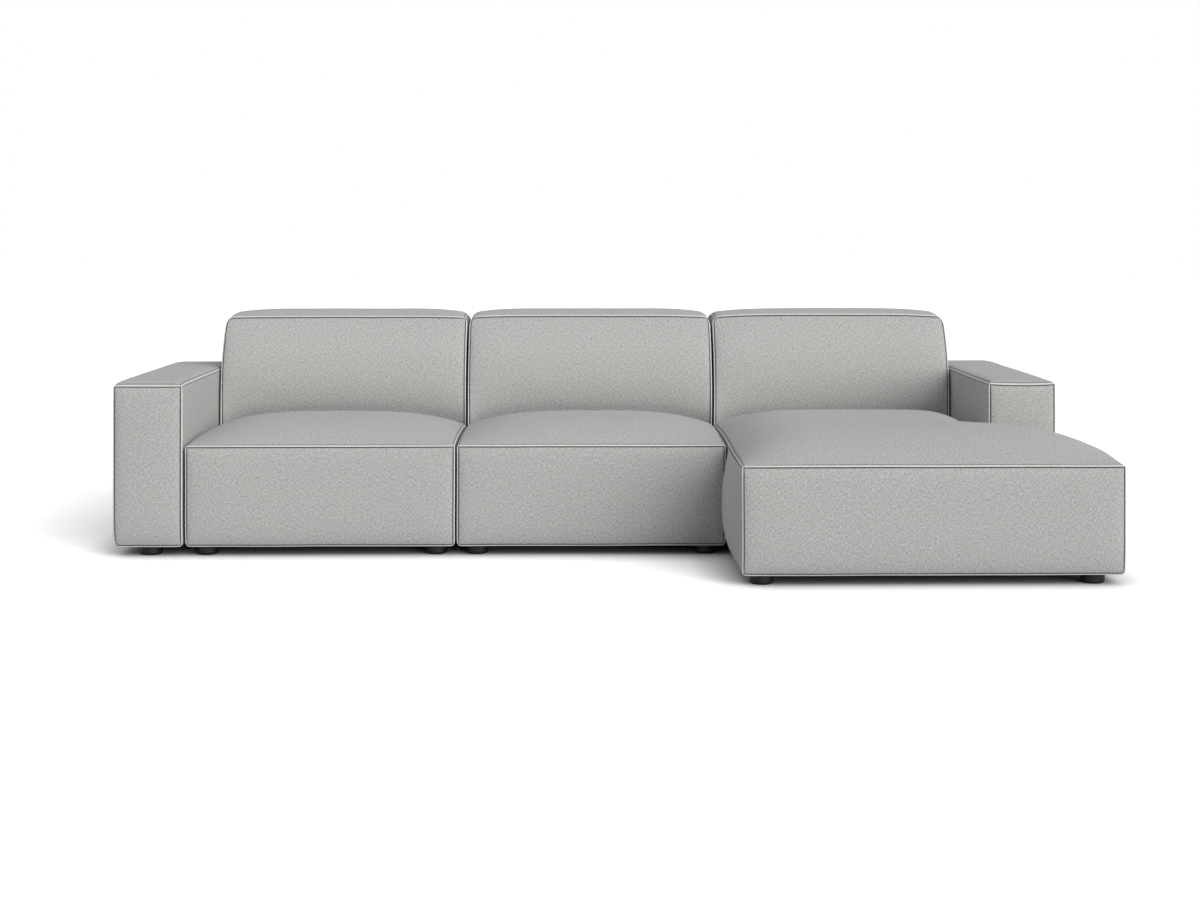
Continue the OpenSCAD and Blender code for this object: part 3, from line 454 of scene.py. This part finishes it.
def add(tree, kind, settings=None, **links):
    """Adds a node with its settings and links.

    A setting is named by its input, by the number of its input or by the node's own property. A
    link is named by its input, with _ for a space, or by at_ and the number of its input.
    """
    node = tree.nodes.new(kind)
    for name, value in (settings or {}).items():
        if isinstance(name, int) or name in node.inputs:
            node.inputs[name].default_value = value
        else:
            setattr(node, name, value)
    for name, source in links.items():
        key = int(name[3:]) if name.startswith("at_") else name.replace("_", " ")
        tree.links.new(source, node.inputs[key])
    return node


def empty_material(name):
    """A material with no nodes yet, and its tree."""
    material = bpy.data.materials.new(name)
    material.use_nodes = True
    material.node_tree.nodes.clear()
    return material, material.node_tree


def new_material(name):
    """A material with its tree and its shader, which is wired to the output."""
    material, tree = empty_material(name)
    shader = add(tree, "ShaderNodeBsdfPrincipled")
    add(tree, "ShaderNodeOutputMaterial", Surface=shader.outputs[0])
    return material, tree, shader


# Scale at which a wave texture has one band in each unit of length
ONE_BAND = math.pi / 10

# Kinds of pattern
NOISE = "ShaderNodeTexNoise"
CELLS = "ShaderNodeTexVoronoi"
BANDS = "ShaderNodeTexWave"


def uneven_yarn(tree, cloth, thread):
    """Fine speckle with short lighter and darker slubs along both thread directions."""
    slub = 4 * thread
    speckle_weight = 2.2
    tones = []
    for length, width in ((slub, thread), (thread, slub), (thread, thread)):
        place = add(tree, "ShaderNodeMapping", {"Scale": (1 / length, 1 / width, 1)}, Vector=cloth)
        tones.append(add(tree, NOISE, {"Scale": 1.0, "Detail": 0.0}, Vector=place.outputs[0]))
    slubs = add(tree, "ShaderNodeMath", {"operation": "ADD"},
                at_0=tones[0].outputs["Fac"], at_1=tones[1].outputs["Fac"])
    return add(tree, "ShaderNodeMath", {"operation": "MULTIPLY_ADD", 1: speckle_weight},
               at_0=tones[2].outputs["Fac"], at_2=slubs.outputs[0]).outputs[0]


def painted_seam_light_and_shade(tree, colour):
    """The cloth's colour with a painted highlight on the beads and painted shade in their grooves."""
    seam = add(tree, "ShaderNodeAttribute", {"attribute_name": "seam"}).outputs["Fac"]
    # Painted highlight on the beads, towards near white
    bead_highlight = add(tree, "ShaderNodeMapRange", {"From Min": 0.2, "To Max": 0.65}, Value=seam)
    # Painted shade in the grooves, towards dark grey
    groove_shade = add(tree, "ShaderNodeMapRange", {"From Min": -0.05, "From Max": -0.9, "To Max": 0.95},
                 Value=seam)
    bead_highlighted = add(tree, "ShaderNodeMix", {"data_type": "RGBA", 7: linear("#efeeec")},
                at_0=bead_highlight.outputs[0], at_6=colour)
    return add(tree, "ShaderNodeMix", {"data_type": "RGBA", 7: linear("#3b3a39")},
               at_0=groove_shade.outputs[0], at_6=bead_highlighted.outputs[2]).outputs[2]


def woven_relief(tree, cloth, thread, yarn):
    """Over and under of the threads, as two crossed waves, with the unevenness of the yarn."""
    weave_weight = 0.6
    waves = []
    for direction in ("X", "Y"):
        waves.append(add(tree, BANDS, {
            "bands_direction": direction, "Scale": ONE_BAND / thread, "Distortion": 1.5,
            "Detail": 2.0, "Detail Scale": 1.5,
        }, Vector=cloth).outputs["Fac"])
    weave = add(tree, "ShaderNodeMath", {"operation": "MULTIPLY"}, at_0=waves[0], at_1=waves[1])
    return add(tree, "ShaderNodeMath", {"operation": "MULTIPLY_ADD", 1: weave_weight},
               at_0=weave.outputs[0], at_2=yarn).outputs[0]


def plain_weave_upholstery():
    """Flat-woven polyester in a warm light grey. Its uneven yarn gives a fine speckle, and the
    raised fibre ends a soft sheen."""
    material, tree, shader = new_material("plain_weave_polyester")
    # Threads are about 1 mm apart. They are drawn 2.3 mm apart, as the finest that still shows
    thread = 2.3 * mm
    cloth = add(tree, "ShaderNodeUVMap", {"uv_map": "cloth_metres"}).outputs[0]
    yarn = uneven_yarn(tree, cloth, thread)
    share = add(tree, "ShaderNodeMapRange", {"From Min": 1.5, "From Max": 2.7}, Value=yarn)
    shades = add(tree, "ShaderNodeValToRGB", Fac=share.outputs[0])
    shades.color_ramp.elements[0].color = linear("#8f8e8c")
    shades.color_ramp.elements[1].color = linear("#cdccca")
    colour = painted_seam_light_and_shade(tree, shades.outputs[0])
    tree.links.new(colour, shader.inputs["Base Color"])
    raised = add(tree, "ShaderNodeBump", {"Strength": 0.4, "Distance": 0.7 * mm},
                 Height=woven_relief(tree, cloth, thread, yarn))
    tree.links.new(raised.outputs[0], shader.inputs["Normal"])
    shader.inputs["Roughness"].default_value = 0.92
    shader.inputs["IOR"].default_value = 1.45
    shader.inputs["Specular IOR Level"].default_value = 0.25
    shader.inputs["Sheen Weight"].default_value = 0.1
    shader.inputs["Sheen Roughness"].default_value = 0.6
    return material


def moulded_foot_plastic():
    """Injection-moulded black polypropylene. The spark-eroded mould leaves a fine even grain."""
    material, tree, shader = new_material("moulded_polypropylene")
    place = add(tree, "ShaderNodeTexCoord").outputs["Object"]
    grain = add(tree, NOISE, {"Scale": 1 / (1.5 * mm), "Detail": 3.0}, Vector=place)
    wear = add(tree, NOISE, {"Scale": 1 / (30 * mm), "Detail": 4.0}, Vector=place)
    colour = add(tree, "ShaderNodeMix", {
        "data_type": "RGBA", 6: linear("#0b0b0b"), 7: linear("#151514"),
    }, at_0=wear.outputs["Fac"])
    tree.links.new(colour.outputs[2], shader.inputs["Base Color"])
    raised = add(tree, "ShaderNodeBump", {"Strength": 0.25, "Distance": 0.1 * mm},
                 Height=grain.outputs["Fac"])
    tree.links.new(raised.outputs[0], shader.inputs["Normal"])
    shader.inputs["Roughness"].default_value = 0.55
    shader.inputs["IOR"].default_value = 1.49
    shader.inputs["Specular IOR Level"].default_value = 0.3
    return material


def two_tone(name, pattern, colours, cell, roughness, metallic=0.0, depth=0.2):
    """A material whose two colours mix by a texture node's pattern, with its relief.

    pattern is the kind of node and its settings, cell the size of one cell of it in X, Y and Z, and
    depth the depth of its relief, both in millimetres.
    """
    material, tree, shader = new_material(name)
    place = add(tree, "ShaderNodeTexCoord").outputs["Object"]
    spread = add(tree, "ShaderNodeMapping", {"Scale": [1 / (s * mm) for s in cell]}, Vector=place)
    kind, settings = pattern
    drawn = add(tree, kind, settings, Vector=spread.outputs[0]).outputs[0]
    shades = add(tree, "ShaderNodeValToRGB", Fac=drawn)
    for stop, position, colour in zip(shades.color_ramp.elements, (0.3, 0.7), colours):
        stop.position = position
        stop.color = linear(colour)
    # Dust and handling leave slow, faint clouds on every part
    clouds = add(tree, NOISE, {"Scale": 1 / (60 * mm), "Detail": 3.0}, Vector=place)
    dulled = add(tree, "ShaderNodeMapRange", {"From Min": 0.3, "From Max": 0.8, "To Max": 0.25},
                 Value=clouds.outputs["Fac"])
    mixed = add(tree, "ShaderNodeMix", {"data_type": "RGBA", 7: linear(colours[0])},
                at_0=dulled.outputs[0], at_6=shades.outputs[0])
    tree.links.new(mixed.outputs[2], shader.inputs["Base Color"])
    raised = add(tree, "ShaderNodeBump", {"Strength": 0.4, "Distance": depth * mm}, Height=drawn)
    tree.links.new(raised.outputs[0], shader.inputs["Normal"])
    shader.inputs["Roughness"].default_value = roughness
    shader.inputs["Metallic"].default_value = metallic
    return material


upholstery = plain_weave_upholstery()
foot_plastic = moulded_foot_plastic()
# Raw sawn pine: yellow-brown boards with darker bands of late wood 8 mm apart along the rails
pine = two_tone(
    "sawn_pine", (BANDS, {"bands_direction": "Z", "Scale": 0.3, "Distortion": 5.0, "Detail": 3.0}),
    ("#b08553", "#dcbb8c"), cell=(160, 8, 8), roughness=0.75, depth=0.3)
# Cut seat foam: cream, with open cells. They are drawn 2 mm wide, which is coarser than the real 0.6
seat_foam = two_tone(
    "cut_polyurethane_foam", (CELLS, {"Scale": 1.0}),
    ("#d6c894", "#efe6c4"), cell=(2, 2, 2), roughness=0.95, depth=0.6)
# Oil-hardened spring wire: dark grey with bright drawing streaks along it
spring_wire = two_tone(
    "drawn_spring_wire", (NOISE, {"Scale": 1.0, "Detail": 3.0}),
    ("#565a5d", "#8b8f92"), cell=(3, 60, 3), roughness=0.35, metallic=1.0, depth=0.05)
# Barrel-plated zinc: pale grey with the cloudy spangle of the coat, 6 mm across
zinc_steel = two_tone(
    "zinc_plated_steel", (CELLS, {"feature": "SMOOTH_F1", "Scale": 1.0}),
    ("#9da0a1", "#c4c7c8"), cell=(6, 6, 6), roughness=0.38, metallic=1.0, depth=0.02)
# Spun-bonded dust cloth: black, with a regular grid of glossier bonding points 1.6 mm apart
dust_cloth = two_tone(
    "spunbond_polypropylene", (CELLS, {"Scale": 1.0, "Randomness": 0.0}),
    ("#151516", "#303031"), cell=(1.6, 1.6, 1.6), roughness=0.9, depth=0.15)
# Elastic webbing: dark blue-grey, with ribs of covered rubber thread 2.5 mm apart
webbing = two_tone(
    "elastic_webbing", (BANDS, {"bands_direction": "X", "Scale": ONE_BAND, "Distortion": 0.4}),
    ("#2c323a", "#535c68"), cell=(2.5, 2.5, 2.5), roughness=0.8, depth=0.4)
# Moulded acetal spring clips: milky white and waxy, with slow flow marks
clip_plastic = two_tone(
    "moulded_acetal", (NOISE, {"Scale": 1.0, "Detail": 2.0}),
    ("#cdcdc8", "#e4e4e0"), cell=(25, 8, 8), roughness=0.45, depth=0.05)

# The finish of each kind of node, by the last word of its name
FINISHES = {
    "feet": foot_plastic,
    "frame": pine,
    "foam": seat_foam,
    "springs": spring_wire,
    "clips": clip_plastic,
    "cloth": dust_cloth,
    "webbing": webbing,
    "bolts": zinc_steel,
    "screws": zinc_steel,
    "plates": zinc_steel,
    "tongues": zinc_steel,
    "pins": zinc_steel,
    "cover": upholstery,
}
for name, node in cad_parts.items():
    node.data.materials.clear()
    node.data.materials.append(FINISHES[name.rsplit("_", 1)[-1]])


# Upholstered blocks. Each shape moves the points of a block's panels, with X from its left side, Y
# from the front seams of the seats or of the back, and Z from the floor

def seat_shape(w):
    """Crown of an armless seat of width w, and the swell of its front."""
    def shape(co):
        x, y, z = co.T
        peak = SEAT_CROWN_PEAK * seat_d
        fall = 1 - (1 - SEAT_CROWN_REAR) * (np.maximum(0, y - peak) / (seat_d - peak)) ** 2
        crown = SEAT_CROWN * rise(x, SEAT_CROWN_REACH) * rise(w - x, SEAT_CROWN_REACH)
        crown = crown * rise(y, SEAT_CROWN_REACH) * fall
        lift = SEAT_EDGE_LIFT * swell(y, 0, seat_d)
        out = DOME * dome(x, 0, w) * dome(z, hem_z, SEAT_H) - tuck(z)
        out = out * near(y, SEAT_FACE_DEPTH)
        x, high = rounded(x, z, w, hem_z, SEAT_H, LOW_CORNER_R, CORNER_R)
        high = high + upper(z, hem_z, SEAT_H, SEAT_UP_POWER) * (crown + lift)
        return np.stack([x, y - out, high], axis=1)
    return shape


def chaise_shape(w, front_w, reach, notch_y):
    """Crown of the chaise, which falls to its seams all round, and the swell of its open sides.

    w is its width beside the arm's notch and front_w in front of it. It reaches out in front of the
    seats by reach, and the notch begins at notch_y.
    """
    def shape(co):
        x, y, z = co.T
        to_notch = np.hypot(np.maximum(0, w - x), np.maximum(0, notch_y - y))
        fall = 1 - (1 - CHAISE_CROWN_REAR) * (np.maximum(0, y) / seat_d) ** 2
        crown = CHAISE_CROWN * rise(x, CHAISE_NEAR_REACH) * rise(front_w - x, CHAISE_OPEN_REACH)
        crown = crown * rise(to_notch, CHAISE_NOTCH_REACH) * rise(y + reach, CHAISE_OPEN_REACH) * fall
        # The side seams begin to lift at a third of the reach in front of the seats
        lift = SEAT_EDGE_LIFT * hump(y, -reach / 3, seat_d)
        lift = lift + CHAISE_EDGE_LIFT * hump(y, -reach, notch_y) * x / front_w
        side_swell = swell(y, -reach, notch_y) * swell(z, hem_z, SEAT_H)
        left = CHAISE_LEFT_SWELL * side_swell * near(x, SIDE_FACE_DEPTH)
        right = CHAISE_RIGHT_SWELL * side_swell * near(front_w - x, SIDE_FACE_DEPTH)
        out = DOME * dome(x, 0, front_w) * dome(z, hem_z, SEAT_H) - tuck(z)
        out = out * near(y + reach, SEAT_FACE_DEPTH)
        x, high = rounded(x, z, front_w, hem_z, SEAT_H, LOW_CORNER_R, CORNER_R)
        high = high + upper(z, hem_z, SEAT_H, SEAT_UP_POWER) * (crown + lift)
        return np.stack([x - left + right, y - out, high], axis=1)
    return shape


def back_shape(w, bow, reach, curl_in):
    """Lean, crown and round corners of a back of width w, and the swell of its front and rear.

    bow is the rise of its top seams towards their middle, reach the distance over which its crown
    rises from its sides, and curl_in how far the foot of its front curls in.
    """
    depth = rear_y - back_y

    def shape(co):
        x, y, z = co.T
        side = np.minimum(x, w - x)
        lean = BACK_LEAN * upper(z, lean_z, BACK_H, LEAN_POWER)
        share = np.clip((depth - BACK_EDGE - y) / (depth - 2 * BACK_EDGE), 0, 1)
        across = swell(y, 0, depth)
        crown = (BACK_CROWN - bow - BACK_EDGE_LIFT) * across + bow
        crown = crown * rise(side, reach) + BACK_EDGE_LIFT * across
        seat_z = SEAT_H + SEAT_EDGE_LIFT + SEAT_CROWN * SEAT_CROWN_REAR * rise(side, SEAT_CROWN_REACH)
        curl = curl_in * near(z - seat_z + CURL_UNDER, CURL_REACH) ** CURL_POWER
        curl = curl * upper(z, hem_z, SEAT_H, SEAT_UP_POWER)
        front = (BACK_SWELL * belly(z, crest_z, BACK_H) - curl) * dome(x, 0, w) * near(y, FACE_DEPTH)
        rear = DOME * dome(x, 0, w) * dome(z, hem_z, BACK_H) * near(depth - y, FACE_DEPTH)
        x, high = rounded(x, z, w, hem_z, BACK_H, LOW_CORNER_R, BACK_CORNER_R)
        high = high + upper(z, hem_z, BACK_H, BACK_UP_POWER) * crown
        return np.stack([x, y + lean * share - front + rear, high], axis=1)
    return shape


def arm_shape(w, outer):
    """Low crown of an arm of width w and the swell of its open faces. outer is -1 or 1 in X.

    The right arm's front is open only over the chaise.
    """
    open_z = hem_z if outer < 0 else SEAT_H

    def shape(co):
        x, y, z = co.T
        crown = ARM_CROWN * rise(np.minimum(x, w - x), ARM_CROWN_REACH)
        crown = crown * rise(np.minimum(y, module_d - y), ARM_CROWN_REACH)
        crown = crown * (1 - ARM_CROWN_FALL * (y / module_d) ** 2)
        lift = ARM_EDGE_LIFT * dome(y, 0, module_d)
        if outer > 0:
            lift = lift + ARM_SAG * (1 - swell(x, 0, w)) * near(y, FACE_DEPTH)
        up = dome(z, hem_z, ARM_H)
        from_outer = x if outer < 0 else w - x
        out = SIDE_DOME * dome(y, 0, module_d) * up
        out = out - ARM_FOOT_IN * near(z - hem_z, ARM_FOOT_REACH) ** FOOT_POWER
        out = outer * out * near(from_outer, FACE_DEPTH)
        front = DOME * dome(x, 0, w) * dome(z, open_z, ARM_H) - (tuck(z) if outer < 0 else 0)
        front = front * near(y, FACE_DEPTH)
        rear = DOME * dome(x, 0, w) * up * near(module_d - y, FACE_DEPTH)
        x, high = rounded(x, z, w, hem_z, ARM_H, LOW_CORNER_R, CORNER_R)
        high = high + upper(z, hem_z, ARM_H, ARM_UP_POWER) * (crown + lift)
        return np.stack([x + out, y - front + rear, high], axis=1)
    return shape


def dress(piece, body, replaced):
    """Puts a cover on its body, in place of the plain solids that it stands for."""
    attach(piece, body)
    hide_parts(*replaced)


def make_seat(name, left_in):
    """Seat cushion block of an armless seat, whose left side lies in by left_in."""
    low, high = cover_place(name + "_cover")
    w = high[0] - low[0] - left_in - GAP_IN
    cover = padded_block((w, seat_d, SEAT_H - hem_z), (0, 0, hem_z))
    place = (low[0] + left_in, seats_y, 0)
    piece = cover.piece(name + "_upholstery", seat_shape(w), place, upholstery)
    dress(piece, name, [name + "_cover", name + "_foam"])


def make_back(name, bow, reach, curl_in):
    """Leaning back block behind a seat."""
    low, high = cover_place(name + "_back_cover")
    w = high[0] - low[0] - 2 * BACK_GAP_IN
    cover = padded_block((w, rear_y - back_y, BACK_H - hem_z), (0, 0, hem_z))
    place = (low[0] + BACK_GAP_IN, back_y, 0)
    shape = back_shape(w, bow, reach, curl_in)
    piece = cover.piece(name + "_back_upholstery", shape, place, upholstery)
    dress(piece, name, [name + "_back_cover", name + "_back_foam"])


def make_chaise():
    """L-shaped seat block of the chaise. The arm stands in its notch, a gap away from it."""
    low, high = cover_place("chaise_cover")
    _, back_corner = cover_place("chaise_back_cover")
    x0 = low[0] + CHAISE_LEFT_SWELL
    front_w = high[0] - CHAISE_RIGHT_SWELL - x0
    w = back_corner[0] - x0
    reach = seats_y - low[1] - CHAISE_FRONT_SWELL
    gap = back_y - seat_d - seats_y
    cover = padded_block((front_w, reach + seat_d, SEAT_H - hem_z), (0, -reach, hem_z), (w, -gap))
    shape = chaise_shape(w, front_w, reach, -gap)
    piece = cover.piece("chaise_upholstery", shape, (x0, seats_y, 0), upholstery)
    dress(piece, "chaise", ["chaise_cover", "chaise_foam"])


def make_arm(name, body, outer):
    """Upholstered arm, whose outer face lies towards outer in X."""
    low, high = cover_place(name + "_cover")
    low[0] += ARM_SWELL if outer < 0 else GAP_IN
    w = high[0] - low[0] - (ARM_SWELL if outer > 0 else GAP_IN)
    cover = padded_block((w, module_d, ARM_H - hem_z), (0, 0, hem_z))
    place = (low[0], seats_y, 0)
    piece = cover.piece(name + "_upholstery", arm_shape(w, outer), place, upholstery)
    dress(piece, body, [name + "_cover", name + "_foam"])


make_seat("seat_left", left_in=ARM_GAP_IN)
make_seat("seat_middle", left_in=GAP_IN)
make_back("seat_left", bow=3 * mm, reach=290 * mm, curl_in=38 * mm)
make_back("seat_middle", bow=6 * mm, reach=290 * mm, curl_in=38 * mm)
make_back("chaise", bow=10 * mm, reach=360 * mm, curl_in=30 * mm)
make_chaise()
make_arm("arm_left", "arm_left", outer=-1)
make_arm("arm_right", "chaise", outer=1)


# Studio

# A white face square to the key light gets KEY, and one in the open gets FILL from all round. The
# key light comes from KEY_FROM and is KEY_WIDTH degrees wide, seen from the sofa
KEY = 0.755
KEY_FROM = (0.7, -1.0, 0.5)
KEY_WIDTH = 50
FILL = 0.49

# Round floor: its radius in metres and the number of its sides
FLOOR_R = 30
FLOOR_SIDES = 96

# Painted shade of the crevice under the sofa: how far it reaches, and the share of white left in its depth
CREVICE = 150 * mm
CREVICE_WHITE = 0.3

# The picture and its lens, middle and horizon, in pixels
PICTURE_W = 1200
PICTURE_H = 900
FOCAL_PX = 1900.0
CENTRE_PX = 609.4
HORIZON_PX = 221.0

# The camera: the width of its sensor in millimetres, its X, its distance in front of the seats and
# its height in metres, and its turn to the right in degrees
SENSOR_W = 36
CAMERA_X = -0.0857
CAMERA_AWAY = 6.4957
CAMERA_H = 1.1443
CAMERA_TURN = 1.013


def seen_directly(tree):
    """1 for what the camera sees, also in a gloss or through glass, and 0 for what lights the sofa."""
    rays = add(tree, "ShaderNodeLightPath")
    seen = add(tree, "ShaderNodeMath", {"operation": "MAXIMUM"},
               at_0=rays.outputs["Is Camera Ray"], at_1=rays.outputs["Is Glossy Ray"])
    return add(tree, "ShaderNodeMath", {"operation": "MAXIMUM"},
               at_0=seen.outputs[0], at_1=rays.outputs["Is Transmission Ray"]).outputs[0]


def studio_paper():
    """Matt white paper, whose lit parts are seen as plain white. It lights the sofa as pale grey."""
    material, tree = empty_material("matt_background_paper")
    plain = add(tree, "ShaderNodeBsdfDiffuse", {"Color": linear("#bcbcbc")})
    # Two shades of paper are added up, because the light on the floor falls short of plain white
    white = add(tree, "ShaderNodeBsdfDiffuse", {"Color": linear("#ffffff")})
    bright = add(tree, "ShaderNodeBsdfDiffuse", {"Color": linear("#d2d2d2")})
    lit = add(tree, "ShaderNodeAddShader", at_0=white.outputs[0], at_1=bright.outputs[0])
    # The crevice between the paper and the sofa's underside is seen darker: painted shade, by how closed
    # in it is
    crevice = add(tree, "ShaderNodeAmbientOcclusion", {"Distance": CREVICE})
    open_share = add(tree, "ShaderNodeMapRange", {"To Min": CREVICE_WHITE}, Value=crevice.outputs["AO"])
    shaded = add(tree, "ShaderNodeMixShader", at_0=open_share.outputs[0], at_2=lit.outputs[0])
    mix = add(tree, "ShaderNodeMixShader", at_0=seen_directly(tree),
              at_1=plain.outputs[0], at_2=shaded.outputs[0])
    add(tree, "ShaderNodeOutputMaterial", Surface=mix.outputs[0])
    return material


def make_floor():
    """Round floor, wide enough to reach past the picture's edges."""
    made = bmesh.new()
    bmesh.ops.create_circle(made, cap_ends=True, segments=FLOOR_SIDES, radius=FLOOR_R)
    mesh = bpy.data.meshes.new("studio_floor")
    made.to_mesh(mesh)
    made.free()
    mesh.materials.append(studio_paper())
    obj = bpy.data.objects.new("studio_floor", mesh)
    bpy.context.scene.collection.objects.link(obj)


def make_world():
    """Even soft light from all round, and a white backdrop behind the sofa."""
    world = bpy.data.worlds.new("studio")
    bpy.context.scene.world = world
    world.use_nodes = True
    tree = world.node_tree
    tree.nodes.clear()
    light = add(tree, "ShaderNodeBackground", {"Color": linear("#ffffff"), "Strength": FILL})
    backdrop = add(tree, "ShaderNodeBackground", {"Color": linear("#ffffff"), "Strength": 1.0})
    mix = add(tree, "ShaderNodeMixShader", at_0=seen_directly(tree),
              at_1=light.outputs[0], at_2=backdrop.outputs[0])
    add(tree, "ShaderNodeOutputWorld", Surface=mix.outputs[0])


def make_key_light():
    """Very large soft light from the right, in front and above, far enough to be even over the sofa."""
    lamp = bpy.data.lights.new("key_light", "SUN")
    lamp.energy = math.pi * KEY
    lamp.angle = math.radians(KEY_WIDTH)
    obj = bpy.data.objects.new("key_light", lamp)
    bpy.context.scene.collection.objects.link(obj)
    obj.rotation_euler = (-Vector(KEY_FROM)).to_track_quat("-Z", "Y").to_euler()


def make_camera():
    """Level camera, higher than the backs and turned slightly to the right, as in the picture."""
    camera = bpy.data.cameras.new("camera")
    camera.sensor_width = SENSOR_W
    camera.lens = FOCAL_PX / PICTURE_W * SENSOR_W
    camera.shift_x = (PICTURE_W / 2 - CENTRE_PX) / PICTURE_W
    camera.shift_y = (HORIZON_PX - PICTURE_H / 2) / PICTURE_W
    obj = bpy.data.objects.new("camera", camera)
    bpy.context.scene.collection.objects.link(obj)
    obj.location = (CAMERA_X, seats_y - CAMERA_AWAY, CAMERA_H)
    obj.rotation_euler = (math.radians(90), 0, math.radians(-CAMERA_TURN))
    bpy.context.scene.camera = obj


make_floor()
make_world()
make_key_light()
make_camera()
bpy.context.scene.view_settings.view_transform = "Standard"
